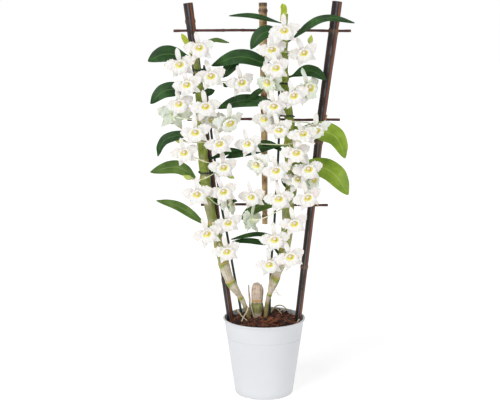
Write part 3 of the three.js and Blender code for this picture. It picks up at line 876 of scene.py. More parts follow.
def make_bark(finish):
    chance = random.Random(11)
    depth = POT_FLOOR + 1

    def place(across, along):
        angle = across * FULL_TURN
        radius = min(along, SOIL_TOP) / SOIL_TOP * BARK_RADIUS
        if along > 0.97:
            return Vector((0, 0, depth))
        if along > SOIL_TOP:
            reach = BARK_RADIUS * POT_FOOT_SHARE / POT_LIP_SHARE
            return Vector((math.cos(angle) * reach, math.sin(angle) * reach, depth))
        x, y = math.cos(angle) * radius, math.sin(angle) * radius
        rough = 1.6 * noise.noise(Vector((x, y, 3)) * 0.22)
        return Vector((x, y, bark_height(x, y) + rough - 2.2))

    bed = sheet("bark_bed_soil", columns=60, rows=33, place=place)
    sew(bed)
    masters = [make_chip(f"chip_{i}", chance) for i in range(CHIP_MASTERS)]
    chips = []
    for i in range(BARK_CHIPS):
        length = chance.uniform(10, 22) * (0.7 if i % 3 else 1)
        radius = (BARK_RADIUS + 1 - length * 0.6) * math.sqrt(chance.random())
        angle = chance.uniform(0, FULL_TURN)
        x, y = radius * math.cos(angle), radius * math.sin(angle)
        z = bark_height(x, y) + chance.uniform(-1.6, 1.8)
        turn = (
            Matrix.Rotation(chance.uniform(0, FULL_TURN), 4, "Z")
            @ Matrix.Rotation(chance.gauss(0, 0.38), 4, "X")
            @ Matrix.Rotation(chance.gauss(0, 0.3), 4, "Y")
        )
        wide, thick = length * chance.uniform(0.75, 1.1), length * chance.uniform(0.6, 1.1)
        matrix = Matrix.Translation((x, y, z)) @ turn @ Matrix.Diagonal((length, wide, thick, 1))
        chip = copy_of(masters[i % len(masters)], Matrix.Scale(MM, 4) @ matrix, f"bark_chip_{i}")
        note_points(chip, "chip", [chance.random()] * len(chip.data.vertices))
        offset = Vector((i * 17.0, 0, 0))
        inverse = turn.inverted()
        note_places(chip, [inverse @ (point.co / MM) + offset for point in chip.data.vertices])
        chips.append(chip)
    # painted shade: the bed under the chips takes the darkest bark colour, so the gaps between chips read
    # dark
    note_points(bed, "chip", [0.05] * len(bed.data.vertices))
    note_places(bed, [point.co / MM for point in bed.data.vertices])
    discard(masters)
    piece = join("bark_chips", [bed, *chips])
    complete(piece, 28, finish, "bark", "bark_bed")


# ---- Trellis --------------------------------------------------------------------------------


def make_post(name, finish, slot):
    """A bamboo culm with a ridge and a groove at each knot and a short open hollow on top."""
    low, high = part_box(name)
    bottom, top = low.z / MM, high.z / MM
    tall = top - bottom
    heights = [bottom + 1, bottom + tall * 0.08, bottom + tall * 0.2, bottom + tall * 0.45]
    heights += [bottom + tall * 0.7, top - 34]
    centres = [girth(name, height)[0] for height in heights]
    axis = (centres[-1] - centres[1]).normalized()
    foot_radius, top_radius = girth(name, heights[1])[1], girth(name, top - 2)[1]
    end = centres[-1] + axis * (top - heights[-1])
    centres.append(end)
    heights.append(top)
    spine, radii, knots = [], [], []
    for i in range(CULM_ROWS + 1):
        share = i / CULM_ROWS
        height = bottom + tall * share
        k = max(j for j in range(len(heights)) if heights[j] <= height or j == 0)
        k = min(k, len(heights) - 2)
        part = (height - heights[k]) / (heights[k + 1] - heights[k])
        spine.append(centres[k].lerp(centres[k + 1], part))
        radius = foot_radius + (top_radius - foot_radius) * share
        ridge = groove = 0
        for knot in KNOTS[name]:
            off = (share - knot) * tall
            ridge += math.exp(-((off / 2.4) ** 2))
            groove += math.exp(-(((off - 5) / 2.0) ** 2))
        radii.append(radius * (1 + 0.17 * ridge - 0.07 * groove))
        knots.append(min(ridge, 1) * KNOT_SHOWS[name])
    # The hollow goes over the cut edge and down inside.
    for reach, drop in ((0.93, -0.4), (0.56, -0.3), (0.52, CULM_HOLLOW * 0.5), (0.5, CULM_HOLLOW)):
        spine.append(end - axis * drop)
        radii.append(top_radius * reach)
        knots.append(0)

    def lumps(angle, row):
        point = Vector((math.cos(angle) * 1.2, math.sin(angle) * 1.2, spine[row].z * 0.035))
        return 1 + 0.035 * noise.noise(point)

    piece = stem(f"bamboo_{name}", spine, radii, CULM_SIDES, axis=axis, lumps=lumps)
    spread = []
    cut = []
    for point in piece.data.vertices:
        share = (point.co.z / MM - bottom) / tall
        spread.append(knots[min(max(round(share * CULM_ROWS), 0), CULM_ROWS)])
        inward = (point.co / MM - end).cross(axis).length < top_radius * 0.95
        cut.append(1.0 if share > 0.97 and inward else 0.0)
    note_points(piece, "knot", spread)
    note_points(piece, "cut", cut)
    complete(piece, 40, finish, slot, name)


def make_rod(name, finish, seed):
    """A thin rod, a little crooked, with four small swellings."""
    centres, radii = spine_of(rings_of(name, STEM_RING, Vector((-200, 0, 0))))
    chance = random.Random(seed)
    spine = evenly(centres, ROD_ROWS)
    nodes = [chance.uniform(0.08, 0.92) for _ in range(4)]
    widths = []
    for i, centre in enumerate(spine):
        share = i / ROD_ROWS
        centre.z += 0.5 * noise.noise(Vector((share * 6, seed, 0)))
        bump = sum(math.exp(-(((share - node) * 120) ** 2)) for node in nodes)
        rough = 0.12 * noise.noise(Vector((share * 22, seed, 5)))
        widths.append(radii[0] * (0.96 + 0.18 * bump + rough))
    piece = stem(f"twig_{name}", spine, widths, ROD_SIDES)
    complete(piece, 45, finish, "dark_twig", name)


def make_peg(name, place, tilt, finish):
    """A small tan peg that wedges a rod in its post."""
    axis = Vector((math.sin(tilt), -0.25, math.cos(tilt)))
    spine = [Vector(place) + axis * step for step in (-5, -4, 0, 4, 5)]
    piece = stem(name, spine, [1.0, 1.4, 1.5, 1.2, 0.8], sides=10)
    note_points(piece, "knot", [0.0] * len(piece.data.vertices))
    note_points(piece, "cut", [0.3] * len(piece.data.vertices))
    complete(piece, 40, finish, "tan_bamboo")


# ---- Canes, stump, roots --------------------------------------------------------------------


def make_cane(name, finish, seed):
    """A jointed cane: each length swells upwards under its papery sheath and ends in a ring."""
    centres, radii = spine_of(rings_of(name, STEM_RING))
    joints = [centres[i] for i in range(0, len(centres), RINGS_PER_JOINT)]
    girths = [radii[i] for i in range(0, len(radii), RINGS_PER_JOINT)]
    chance = random.Random(seed)
    spine, widths, joint_of = [], [], []
    slants = [chance.uniform(-1, 1) for _ in joints]
    tops = [chance.uniform(0.76, 0.87) for _ in joints]
    for i in range(len(joints) - 1):
        for row in range(CANE_ROWS):
            share = row / CANE_ROWS
            place = i + share
            spine.append(between(joints, place))
            below, here = girths[i], girths[i + 1]
            neck = 0.86 * min(below, here)
            swell = neck + (here - neck) * math.sin(share * math.pi / 2) ** 1.3
            start = below * math.exp(-((share / 0.06) ** 2)) * 0.16
            finish_ring = here * math.exp(-(((1 - share) / 0.06) ** 2)) * 0.05
            widths.append(swell + start + finish_ring)
            joint_of.append(place)
    spine.append(joints[-1])
    widths.append(girths[-1] * 0.9)
    joint_of.append(len(joints) - 1)

    def grooves(angle, row):
        joint = joint_of[row]
        deep = 0.035 * min(joint / 6, 1)
        wander = noise.noise(Vector((math.cos(angle), math.sin(angle), joint * 0.9)))
        return 1 + deep * math.sin(angle * 9 + seed + 2 * wander) + 0.04 * wander

    piece = stem(f"{name}_skin", spine, widths, CANE_SIDES, lumps=grooves)
    joint, sheath, ring = [], [], []
    for point in piece.data.vertices:
        foot, at = nearest_on(spine, point.co / MM)
        place = joint_of[min(int(at), len(joint_of) - 1)] + (at - int(at)) / CANE_ROWS
        which = min(int(place), len(joints) - 2)
        share = place - which
        side = (point.co / MM - foot).normalized()
        edge = tops[which] + 0.15 * slants[which] * side.x + 0.06 * noise.noise(point.co * 300)
        covered = 1 / (1 + math.exp((share - edge) * 60))
        worn = 1 if which < 4 else max(0.5 - 0.05 * which, 0) + 0.9 * noise.noise(point.co * 60)
        joint.append(place)
        sheath.append(covered * min(max(worn, 0), 1) if which else 0.15)
        ring.append(math.exp(-(((min(share, 1 - share)) / 0.035) ** 2)) if which or share > 0.5 else 0)
    note_points(piece, "joint", joint)
    note_points(piece, "sheath", sheath)
    note_points(piece, "ring", ring)
    complete(piece, 60, finish, "cane", name)
    return joints


def make_stump(finish):
    """The old cut-back cane: a green length with a torn, fibrous dry cap."""
    centres, radii = spine_of(rings_of("old_cane_stump", STUMP_RING))
    spine = evenly(centres, STUMP_ROWS)
    widths = evenly(radii, STUMP_ROWS)
    widths[-1] *= 0.82
    for i in range(3):
        spine.append(spine[STUMP_ROWS] + Vector((0, 0, 0.7 + 0.5 * i)))
        widths.append(radii[-1] * (0.66 - 0.24 * i))

    def lumps(angle, row):
        share = row / STUMP_ROWS
        point = Vector((math.cos(angle) * 2, math.sin(angle) * 2, share * 2.5))
        ragged = 0.16 if share > 0.5 else 0.06
        return 1 + ragged * noise.noise(point) + 0.03 * math.sin(angle * 13)

    piece = stem("stump_of_old_cane", spine, widths, STUMP_SIDES, lumps=lumps)
    for point in piece.data.vertices:
        share = (point.co.z / MM - STUMP_FOOT) / STUMP_TALL
        if share > 0.9:
            side = Vector((point.co.x / MM - STUMP_RIGHT, point.co.y / MM, 0))
            point.co.z += MM * 2.6 * noise.noise(side * 0.35) + MM * side.x * -0.12
    complete(piece, 50, finish, "dry_sheath", "old_cane_stump")


def make_thin_stem(name, node, sides, finish, slot, steps, wobble=0.0, taper=1.0):
    """A root, stake or dried stalk that follows its node's rings."""
    centres, radii = spine_of(rings_of(node, sides, Vector((0, 0, 1000))))
    spine = evenly(centres, steps)
    widths = []
    for i, centre in enumerate(spine):
        share = i / steps
        swing = Vector([noise.noise(Vector((share * 9, axis * 7.0, len(node)))) for axis in range(3)])
        centre += swing * wobble
        ends = 1 - 0.35 * (i in (0, steps))
        widths.append(between(radii, (len(radii) - 1) * share) * ends * (1 + (taper - 1) * share))
    piece = stem(name, spine, widths, THIN_STEM_SIDES)
    complete(piece, 60, finish, slot, node)


def make_fine_root(name, points, radius, finish, tip):
    """A root laid through given points, thinner towards its tip."""
    steps = (len(points) - 1) * 7
    route = evenly([Vector(point) for point in points], steps)
    widths = [radius * (1 - (1 - tip) * i / steps) for i in range(steps + 1)]
    piece = stem(name, route, widths, FINE_ROOT_SIDES)
    complete(piece, 60, finish, "root")


# Each root's points, its radius, and the radius at its tip as a share of that.
FINE_ROOTS = {
    "root_curl_behind": (
        [(12, 26, 126), (19, 24, 134), (27, 22, 136), (34, 23, 132), (39, 25, 125)], 1.1, 0.7
    ),
    "root_curl_middle": ([(11, 19, 125), (16, 17, 132), (23, 16, 130), (28, 14, 124)], 1.0, 0.7),
    "root_curl_right": ([(24, 20, 125), (30, 17, 131), (37, 18, 129), (41, 20, 123)], 0.9, 0.6),
    "root_at_right_post": ([(51, -15, 112), (53, -15, 119), (56, -12, 122), (58, -7, 116)], 1.1, 0.7),
    "root_hair_upper": ([(16, -2, 168), (20, -3, 166), (22, -4, 160), (25, -4, 157)], 0.4, 0.6),
    "root_hair_lower": ([(15, -2, 163), (21, -1, 162), (27, -3, 158)], 0.35, 0.6),
    "root_from_stump": ([(-23, -4, 155), (-20, -9, 140), (-15, -13, 122)], 0.9, 0.7),
    "rhizome": ([(-25, -6, 116), (-15, -11, 121), (-4, -10, 121), (6, -5, 117)], 3.4, 0.8),
}


TIE_FULLNESS = 1.4  # the coating makes a tie thicker than its wire


def make_tie(name, cane, stake, finish):
    """A wire loop round a cane and its stake, like a belt round a big wheel and a small one."""
    low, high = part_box(name)
    height = (low.z + high.z) / 2 / MM
    wire = (high.z - low.z) / 2 / MM * TIE_FULLNESS
    cane_centre, cane_radius = girth(cane, height)
    stake_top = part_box(stake)[1].z / MM
    stake_centre, stake_radius = girth(stake, min(height, stake_top - 2))
    stake_centre.z = height
    span = stake_centre - cane_centre
    distance = span.length
    turn = math.atan2(span.y, span.x)
    leaving = (cane_radius - stake_radius) / distance
    choose()
    bpy.ops.mesh.primitive_torus_add(major_radius=1, minor_radius=0.1, major_segments=72, minor_segments=10)
    piece = bpy.context.object
    piece.name = f"wire_{name}"
    for point in piece.data.vertices:
        x, y, z = point.co
        ring = math.hypot(x, y)
        along, across = x / ring, y / ring
        on_stake = along > leaving
        reach = (stake_radius if on_stake else cane_radius) + wire + 0.3 + (ring - 1) * 10 * wire
        local = Vector((along * reach + (distance if on_stake else 0), across * reach, z * 10 * wire))
        local.z += 0.8 * math.sin(across * 2)
        point.co = (Matrix.Rotation(turn, 3, "Z") @ local + cane_centre) * MM
    complete(piece, 60, finish, "green_wire", name)


# ---- Leaves ---------------------------------------------------------------------------------


def blade(name, spine, halves, across, faces, seed):
    """A leaf blade: folded along its midrib, softly waved at its edges, thin and closed."""
    chance = random.Random(seed)
    waves, start = chance.uniform(1.2, 2.4), chance.uniform(0, FULL_TURN)
    curl = chance.uniform(-0.06, 0.1)

    def place(u, v):
        at = v * (len(spine) - 1)
        side = (u - 0.5) * 2
        step = min(int(at), len(halves) - 2)
        straight = halves[step] + (halves[step + 1] - halves[step]) * (at - step)
        tip = math.sqrt(max(1 - (max(v - BLUNT_TIP, 0) / (1 - BLUNT_TIP)) ** 2, 0))
        half = max(between(halves, at), straight * 0.9, 1.2) * tip + 0.1
        reach = side * half
        rise = LEAF_FOLD * half * (abs(side) ** 1.35) * (1 - 0.5 * v)
        rise += 0.07 * half * side * abs(side) * math.sin(waves * FULL_TURN * v + start + side)
        rise -= curl * half * side * side * v
        rise -= 0.35 * math.exp(-((side / 0.1) ** 2)) * min(half / 8, 1)
        rise += 0.12 * math.cos(side * 9 * math.pi) * min(half / 8, 1)
        return between(spine, at) + between(across, at) * reach + between(faces, at) * rise

    piece = sheet(name, LEAF_COLUMNS, LEAF_ROWS, place)
    finish_with(piece, "SOLIDIFY", thickness=LEAF_THICKNESS * MM, offset=0)
    sew(piece, FINE_SEW)
    return piece


def make_leaf(node, cane_spine, finish, slot, seed):
    """A leaf on its rings in the frame, with a foot that clasps the cane."""
    low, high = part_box(node)
    middle = (low + high) / 2 / MM
    near, _ = nearest_on(cane_spine, middle)
    spine, halves, across, faces = [], [], [], []
    for ring in rings_of(node, BLADE_RING, near):
        left, right = max(
            ((a, b) for a in ring for b in ring), key=lambda pair: (pair[0] - pair[1]).length
        )
        others = [point for point in ring if point not in (left, right)]
        span = right - left
        if across and span.dot(across[-1]) < 0:
            span = -span
        if across and span.normalized().dot(across[-1]) < 0.75:
            span = across[-1] * span.length
        spine.append(middle_of(ring))
        halves.append(span.length / 2)
        across.append(span.normalized())
        faces.append((left + right) / 2 - middle_of(others))
    for i, face in enumerate(faces):
        square = across[i].cross(heading(spine, i)).normalized()
        faces[i] = square if square.dot(face) >= 0 else -square
    youngest = node.endswith("tip")
    reach = YOUNG_LEAF_FOOT if youngest else LEAF_FOOT
    foot = spine[0] - (spine[1] - spine[0]).normalized() * reach
    if youngest:
        halves = [max(halves) if i < len(halves) / 2 else half for i, half in enumerate(halves)]
    spine.insert(0, foot)
    halves.insert(0, halves[0] * 1.1)
    across.insert(0, across[0])
    faces.insert(0, faces[0])
    piece = blade(f"{node}_blade", spine, halves, across, faces, seed)
    complete(piece, 60, finish, slot, node)


LANCE = (0.28, 0.32, 0.6, 0.86, 1.0, 1.0, 0.86, 0.55, 0.04)  # half widths from foot to tip


def make_small_leaf(name, points, width, face, finish, slot, seed):
    """A leaf or a dry flap laid along given points."""
    spine = evenly([Vector(point) for point in points], len(LANCE) - 1)
    halves = [share * width / 2 for share in LANCE]
    across, faces = [], []
    for i in range(len(spine)):
        ahead = heading(spine, i).normalized()
        side = ahead.cross(Vector(face)).normalized()
        across.append(side)
        faces.append(side.cross(ahead).normalized())
    piece = blade(name, spine, halves, across, faces, seed)
    complete(piece, 60, finish, slot)


# Each leaf finish's dark, middle and pale green, and the green of its midrib.
LEAF_GREENS = {
    "dark_green": ((16, 50, 10), (28, 72, 18), (52, 100, 32), (92, 134, 62)),
    "painted_sunlit_green": ((66, 98, 34), (88, 120, 46), (116, 144, 68), (150, 172, 108)),
    "light_green": ((100, 132, 24), (124, 154, 34), (148, 174, 56), (172, 190, 94)),
    "young_yellow": ((166, 188, 34), (190, 206, 56), (210, 220, 90), (224, 230, 136)),
}

# Leaves in the dark slot that take a paler green than the others, as painted sunlight.
SUNLIT_LEAVES = ("leaf_left_4", "leaf_left_5", "leaf_middle_6", "leaf_left_6")

# Each leaf's points from foot to tip, its width and the way its blade looks.
SMALL_LEAVES = {
    "small_leaf_behind_top": (
        [(-36, -6, 529), (-44, -6, 526), (-54, -8, 517), (-64, -11, 502)], 19, (0, -1, 0.3)
    ),
    "small_leaf_curl": (
        [(-48, -8, 500), (-54, -9, 493), (-60, -10, 490), (-64, -11, 494)], 6, (0, -1, 0.4)
    ),
    "small_leaf_narrow": (
        [(2, -10, 490), (-7, -10, 483), (-16, -11, 476), (-28, -12, 466)], 9, (0.3, -1, 0.4)
    ),
    "small_leaf_left_low": (
        [(-86, -14, 303), (-74, -10, 311), (-60, -10, 314), (-42, -12, 311)], 13, (0, -1, 0.5)
    ),
    "small_leaf_pair": ([(30, -11, 244), (3, -7, 244), (-25, -9, 248), (-50, -13, 247)], 9, (0, -1, 0.5)),
    "small_leaf_centre_left": (
        [(-92, -1, 374), (-73, -6, 382), (-56, -9, 389), (-37, -11, 390)], 11, (0, -1, 0.4)
    ),
    "small_leaf_centre_right": (
        [(33, -10, 387), (21, -9, 394), (8, -9, 401), (-8, -12, 405)], 9, (0, -1, 0.6)
    ),
    "small_leaf_by_right_cane": (
        [(37, -12, 329), (34, -13, 337), (31, -13, 345), (27, -14, 351)], 11, (0.2, -1, 0.2)
    ),
    "small_leaf_by_left_cane": (
        [(-110, -14, 479), (-98, -16, 482), (-87, -16, 480), (-76, -15, 483)], 13, (0, -1, 0.3)
    ),
    "small_leaf_sprig": (
        [(10, -12, 246), (15, -13, 240), (20, -13, 232), (24, -14, 226)], 4, (0, -1, 0.5)
    ),
}

# Each flap's points from foot to tip and its width.
SHEATH_FLAPS = {
    "sheath_flap_low": ([(29, -9, 202), (32, -10, 208), (35, -11, 213), (37, -12, 218)], 5),
    "sheath_flap_high": ([(37, -9, 254), (39, -11, 262), (41, -12, 269), (42, -12, 276)], 6),
}


# ---- Flowers --------------------------------------------------------------------------------

FLOWER_MASTERS = 5
PETAL_THICKNESS = 0.4

# Half widths from foot to tip, as shares of the widest.
DORSAL_OUTLINE = (0.5, 0.66, 0.82, 0.95, 1.0, 1.0, 0.94, 0.76, 0.2)
PETAL_OUTLINE = (0.32, 0.64, 0.88, 1.0, 1.0, 0.9, 0.74, 0.5, 0.06)
SEPAL_OUTLINE = (0.7, 0.9, 1.0, 0.98, 0.88, 0.72, 0.53, 0.3, 0.05)

# Each one's angle from the top, length, width, outline, how far forward it sits, and ruffle.
TEPALS = (
    (0, 25, 7.6, DORSAL_OUTLINE, -0.9, 0.25),
    (140, 22.5, 12.5, SEPAL_OUTLINE, -1.1, 0.7),
    (220, 22.5, 12.5, SEPAL_OUTLINE, -1.1, 0.7),
    (79, 24, 17, PETAL_OUTLINE, 0.4, 1.4),
    (281, 24, 17, PETAL_OUTLINE, 0.4, 1.4),
)
TEPAL_BACK = -4.6
TEPAL_FOOT = 1.5
COLUMN_RADII = (1.5, 1.6, 1.7, 1.8, 1.9, 2.1, 2.2, 2.0, 1.2)
SPUR_RADII = (2.8, 3.3, 3.2, 2.8, 2.3, 1.8, 1.5, 1.2)
BUD_RADII = (1.1, 1.4, 2.0, 2.7, 3.3, 3.8, 4.1, 4.1, 3.9, 3.5, 3.0, 2.4, 1.7, 1.0, 0.4)
STALK_RADII = (2.1, 2.1, 2.0, 1.9, 1.9, 1.8, 1.7, 1.7, 1.6, 1.3)
HEAD_BACK = {"flower": 14, "bud": 9}  # how far behind its middle a head meets its own stalk
PEDICEL_ROWS = 14


def make_tepal(name, angle, length, width, outline, forward, ruffle, chance):
    """A petal or sepal that arches forward, bends back at its tip and has a ragged edge."""
    turn = math.radians(angle + chance.uniform(-5, 5))
    ahead = Vector((math.sin(turn), math.cos(turn), 0))
    side = Vector((math.cos(turn), -math.sin(turn), 0))
    length *= chance.uniform(0.95, 1.05)
    arch, reflex = chance.uniform(0.8, 2.0), chance.uniform(0.2, 3.2)
    bend = chance.uniform(-1.2, 1.2)
    waves = [(chance.uniform(2.2, 3.4), chance.uniform(0, FULL_TURN)) for _ in range(2)]
    notch = [chance.uniform(4.5, 6.5), chance.uniform(0, FULL_TURN)]

    def place(u, v):
        w = (u - 0.5) * 2
        freq, phase = waves[w > 0]
        ragged = 0.05 + 0.09 * v * v
        edge = 1 + ragged * ruffle * math.sin(notch[0] * FULL_TURN * v + notch[1] * (1 + (w > 0)))
        half = between(outline, v * (len(outline) - 1)) * width / 2
        reach = w * half * (1 + (edge - 1) * abs(w))
        out = TEPAL_FOOT + (length - TEPAL_FOOT) * v
        z = TEPAL_BACK + forward + arch * math.sin(math.pi * min(v * 1.2, 1)) - reflex * v * v
        z += ruffle * w * w * math.sin(freq * FULL_TURN * v + phase) * min(v * 3, 1)
        z -= 0.9 * w * w * (1 - v)
        z -= 0.3 * math.exp(-((w / 0.14) ** 2)) * (1 - v * v)
        point = ahead * out + side * (reach + bend * v * v)
        point.z = z
        return point

    return sheet(name, columns=10, rows=16, place=place)


def make_flower(name, seed, finishes):
    """Five tepals, a trumpet lip with a ruffled limb, the column and the spur behind."""
    chance = random.Random(seed)
    each = [make_tepal(f"{name}_tepal_{i}", *values, chance) for i, values in enumerate(TEPALS)]
    tepals = join(f"{name}_tepals", each)
    finish_with(tepals, "SOLIDIFY", thickness=PETAL_THICKNESS * MM, offset=0)
    coat(tepals, finishes["petal"])

    frill = [(chance.uniform(0.5, 0.9), chance.uniform(0, FULL_TURN)) for _ in range(2)]
    lobes = chance.choice((7, 8, 9))

    def lip_place(u, v):
        angle = u * FULL_TURN
        down = 0.5 - 0.5 * math.sin(angle)
        limb = 8.0 + 5.6 * down**1.4 + 1.2 * math.cos(angle) ** 2
        limb += frill[0][0] * math.sin(lobes * angle + frill[0][1])
        inner = min(v / 0.5, 1)
        spread = max((v - 0.5) / 0.5, 0)
        throat = between((0, 2.8, 4.9, 6.2), inner * 3)
        radius = throat + (limb - throat) * spread
        flat = 0.78 + 0.22 * spread
        z = between((-3.4, -2.7, -1.0, 0.8), inner * 3)
        z += 1.3 * math.sin(math.pi * spread * 0.75) - 2.4 * spread * spread
        z += spread * frill[1][0] * 1.6 * math.sin((lobes + 2) * angle + frill[1][1])
        return Vector((radius * math.cos(angle), flat * radius * math.sin(angle) - 0.6 * spread, z))

    lip = sheet(f"{name}_lip", columns=48, rows=14, place=lip_place)
    sew(lip, FINE_SEW)
    finish_with(lip, "SOLIDIFY", thickness=PETAL_THICKNESS * MM, offset=-1)
    coat(lip, finishes["lip"])

    spine = [Vector((0, 2.6 - 0.22 * i, -3.6 + i * 0.62)) for i in range(len(COLUMN_RADII))]
    column = stem(f"{name}_column", spine, COLUMN_RADII, sides=14)
    coat(column, finishes["column"])

    back = [Vector((0, -1.2 - 0.05 * i * i, -4.8 - i * 1.5)) for i in range(len(SPUR_RADII))]
    spur = stem(f"{name}_spur", back, SPUR_RADII, sides=14)
    coat(spur, finishes["pedicel"])
    flower = join(name, [tepals, lip, column, spur])
    smooth(flower, 70)
    return flower


def make_bud(name, finishes):
    """A plump, pointed bud, 19 long, with three shallow seams."""
    heights = [-10 + 19 * i / (len(BUD_RADII) - 1) for i in range(len(BUD_RADII))]
    spine = [Vector((0, 0.02 * h * h, h)) for h in heights]

    def seams(angle, _):
        return 1 - 0.07 * abs(math.cos(angle * 1.5)) ** 6

    piece = stem(name, spine, BUD_RADII, sides=24, axis=UP + FRONT * 0.001, lumps=seams)
    smooth(piece, 70)
    coat(piece, finishes["bud"])
    return piece


def cut_flower(peak, rim, spoke):
    """The seat of a flower whose raised middle a neighbour cuts, read from its whole spokes."""
    whole = [co for co in rim if abs((co - peak).length / spoke - 1) < 0.01]
    if len(whole) <= STAR_SPOKES / 2:
        return None
    first = whole[0]
    second = max(whole, key=lambda co: (co - first).length)
    third = max(whole, key=lambda co: min((co - first).length, (co - second).length))
    facing = (second - first).cross(third - first).normalized()
    if facing.dot(peak - first) < 0:
        facing = -facing
    size = spoke / math.hypot(RIM_RADIUS, EYE_PEAK)
    return "flower", peak - facing * EYE_PEAK * size, facing, UP, size


def flower_seat(peak, rim, spokes):
    """A flower's seat. Its raised middle has even spokes and a longer one that marks the top."""
    marked = spokes[-2] / spokes[0] < 1.03 and 1.07 < spokes[-1] / spokes[0] < 1.15
    usual = spokes[0] if marked else spokes[STAR_SPOKES // 2]
    if not SPOKE_RANGE[0] < usual < SPOKE_RANGE[1]:
        return None
    if not marked:
        return cut_flower(peak, rim, usual)
    far = max(rim, key=lambda co: (co - rim[-1]).length)
    size = usual / math.hypot(RIM_RADIUS, EYE_PEAK)
    up = (rim[-1] - far).normalized()
    eye = far + up * RIM_RADIUS * size
    return "flower", eye, (peak - eye).normalized(), up, size


def bud_seat(peak, rim, spokes):
    """A bud's seat. Its tip has even spokes."""
    size = spokes[0] / BUD_SLOPE
    if spokes[-1] / spokes[0] >= 1.03 or not 0.9 < size < 1.12:
        return None
    centre = middle_of(rim)
    facing = (peak - centre).normalized()
    up = facing.cross(Vector((1, 0, 0))).normalized()
    return "bud", centre + facing * size, facing, up, size


def seats_of(node):
    """Every flower and bud of a spray, as (kind, eye, facing, up, size), and all its points."""
    body = sewn_copy(node)
    seats = []
    for point in body.verts:
        peak = point.co
        ends = (edge.other_vert(point).co for edge in point.link_edges)
        rim = sorted(ends, key=lambda co: (co - peak).length)
        spokes = [(co - peak).length for co in rim]
        if len(rim) == STAR_SPOKES:
            seats.append(flower_seat(peak, rim, spokes))
        if len(rim) == BUD_SPOKES:
            seats.append(bud_seat(peak, rim, spokes))
    points = [point.co.copy() for point in body.verts]
    body.free()
    return [seat for seat in seats if seat], points


def seat_matrix(eye, facing, up, size):
    """Takes a head that faces +Z at the origin to its seat."""
    up = (up - facing * up.dot(facing)).normalized()
    across = up.cross(facing).normalized()
    turn = Matrix((across, up, facing)).transposed().to_4x4()
    return Matrix.Translation(eye * MM) @ turn @ Matrix.Scale(size, 4)


def make_spray(node, cane_spine, masters, bud_master, finishes, count):
    """A short stalk that forks to every flower and bud. Returns how many heads there are so far."""
    seats, points = seats_of(node)
    points.sort(key=lambda point: (point - nearest_on(cane_spine, point)[0]).length)
    root = middle_of(points[:6])
    axis_point, _ = nearest_on(cane_spine, root)
    away = root - axis_point
    away.z = 0
    away.normalize()
    fork = root + away * 5.5
    stalk_route = [axis_point.lerp(root, 0.5), root, root + away * 3 + UP * 0.4, fork]
    stalk_spine = evenly(stalk_route, len(STALK_RADII) - 1)
    stalk = stem(f"{node}_stalk", stalk_spine, STALK_RADII, sides=10)
    coat(stalk, finishes["pedicel"])
    parts = [stalk]
    shares = [i / PEDICEL_ROWS for i in range(PEDICEL_ROWS + 1)]
    widths = [1.0 - 0.25 * math.sin(math.pi * share) + 0.3 * share**4 for share in shares]
    for kind, eye, facing, up, size in seats:
        end = eye - facing * HEAD_BACK[kind] * size
        bow = (end - fork).length * 0.4
        route = bezier(fork - away * 1.5, fork + away * bow, end - facing * bow, end, PEDICEL_ROWS)
        pedicel = stem(f"{node}_pedicel", route, widths, sides=8)
        coat(pedicel, finishes["pedicel"])
        parts.append(pedicel)
        # 0 for a head that faces the front, 1 for one that is turned well away
        turned_away = min(max((0.92 + facing.y) * 2.2, 0), 1)
        master = bud_master
        if kind == "flower":
            size *= 1 + 0.2 * turned_away
            facing = facing.lerp(Vector((0, -1, 0)), 0.3 * turned_away).normalized()
            master = masters[count % len(masters)]
        head = copy_of(master, seat_matrix(eye, facing, up, size), f"{node}_{kind}")
        note_points(head, "tint", [turned_away] * len(head.data.vertices))
        parts.append(head)
        count += 1
    piece = join(f"{node}_flowers", parts)
    smooth(piece, 70)
    hand_over(piece, "petal", node)
    return count


# ---- The whole plant ------------------------------------------------------------------------

set_stage()

nodes = sorted(frame["nodes"])
bamboo = dark_bamboo()
tan = tan_bamboo()
twig = dark_twig()
wire = green_wire()
root_skin = pale_root()
sheath = dry_sheath("dry_fibrous_sheath", 0.85)
dead_skin = dry_sheath("dead_brown_sheath", 0)
leaf_finishes = {
    name: leaf_skin(f"{name}_leaf", *(paint(*green) for green in greens))
    for name, greens in LEAF_GREENS.items()
}
flower_finishes = {
    "petal": petal_skin(),
    "lip": lip_skin(),
    "column": column_skin(),
    "pedicel": pedicel_skin(),
    "bud": bud_skin(),
}

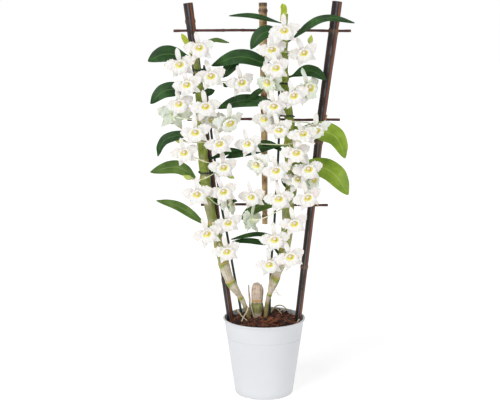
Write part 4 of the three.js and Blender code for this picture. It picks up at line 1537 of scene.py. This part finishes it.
make_pot(pot_paint())
make_bark(bark_chip())
make_post("post_left", bamboo, "dark_bamboo")
make_post("post_right", bamboo, "dark_bamboo")
make_post("post_middle", tan, "tan_bamboo")
for seed, name in enumerate(("rod_top", "rod_middle", "rod_bottom")):
    make_rod(name, twig, seed + 3)
make_peg("peg_middle_right", (95, 0, 440), 0.3, tan)
make_peg("peg_bottom_right", (83, 0, 306), -0.2, tan)

skin = cane_skin()
canes = {}
for side, seed in (("left", 5), ("right", 9)):
    canes[side] = make_cane(f"cane_{side}", skin, seed)
make_stump(sheath)
make_thin_stem("dried_stalk", "dried_stub", ROOT_RING, dead_skin, "dry_sheath", steps=30, wobble=0.8)
for name in ("root_left", "root_middle"):
    make_thin_stem(
        f"{name}_skin", name, ROOT_RING, root_skin, "root", steps=36, wobble=0.8, taper=0.8
    )
for name, (points, radius, tip) in FINE_ROOTS.items():
    make_fine_root(name, points, radius, root_skin, tip)
for side in ("left", "right"):
    make_thin_stem(f"stake_{side}_wire", f"stake_{side}", STEM_RING, wire, "green_wire", steps=80)
for side in ("left", "right"):
    for level in ("low", "high"):
        make_tie(f"tie_{side}_{level}", f"cane_{side}", f"stake_{side}", wire)

record_slots = {part["node"]: part["material_slot"] for part in frame["record"]["subparts"]}
slot_greens = {"dark_leaf": "dark_green", "light_leaf": "light_green"}
for seed, node in enumerate(name for name in nodes if name.startswith("leaf_")):
    side = "left" if node.startswith("leaf_left") else "right"
    slot = record_slots[node]
    # leaves in the sunlit list take the paler green as painted sunlight
    green = "painted_sunlit_green" if node in SUNLIT_LEAVES else slot_greens[slot]
    if node.endswith("tip"):
        green = "young_yellow"
    make_leaf(node, canes[side], leaf_finishes[green], slot, seed)
for seed, (name, shape) in enumerate(SMALL_LEAVES.items()):
    make_small_leaf(name, *shape, leaf_finishes["dark_green"], "dark_leaf", seed + 40)
for seed, (name, shape) in enumerate(SHEATH_FLAPS.items()):
    make_small_leaf(name, *shape, FRONT, dead_skin, "dry_sheath", seed + 50)

masters = [make_flower(f"flower_{i}", 20 + i, flower_finishes) for i in range(FLOWER_MASTERS)]
bud_master = make_bud("bud_shape", flower_finishes)
made = 0
for node in (name for name in nodes if name.startswith("spray_")):
    side = "left" if node.startswith("spray_left") else "right"
    made = make_spray(node, canes[side], masters, bud_master, flower_finishes, made)
print("flowers and buds:", made)
discard([*masters, bud_master])
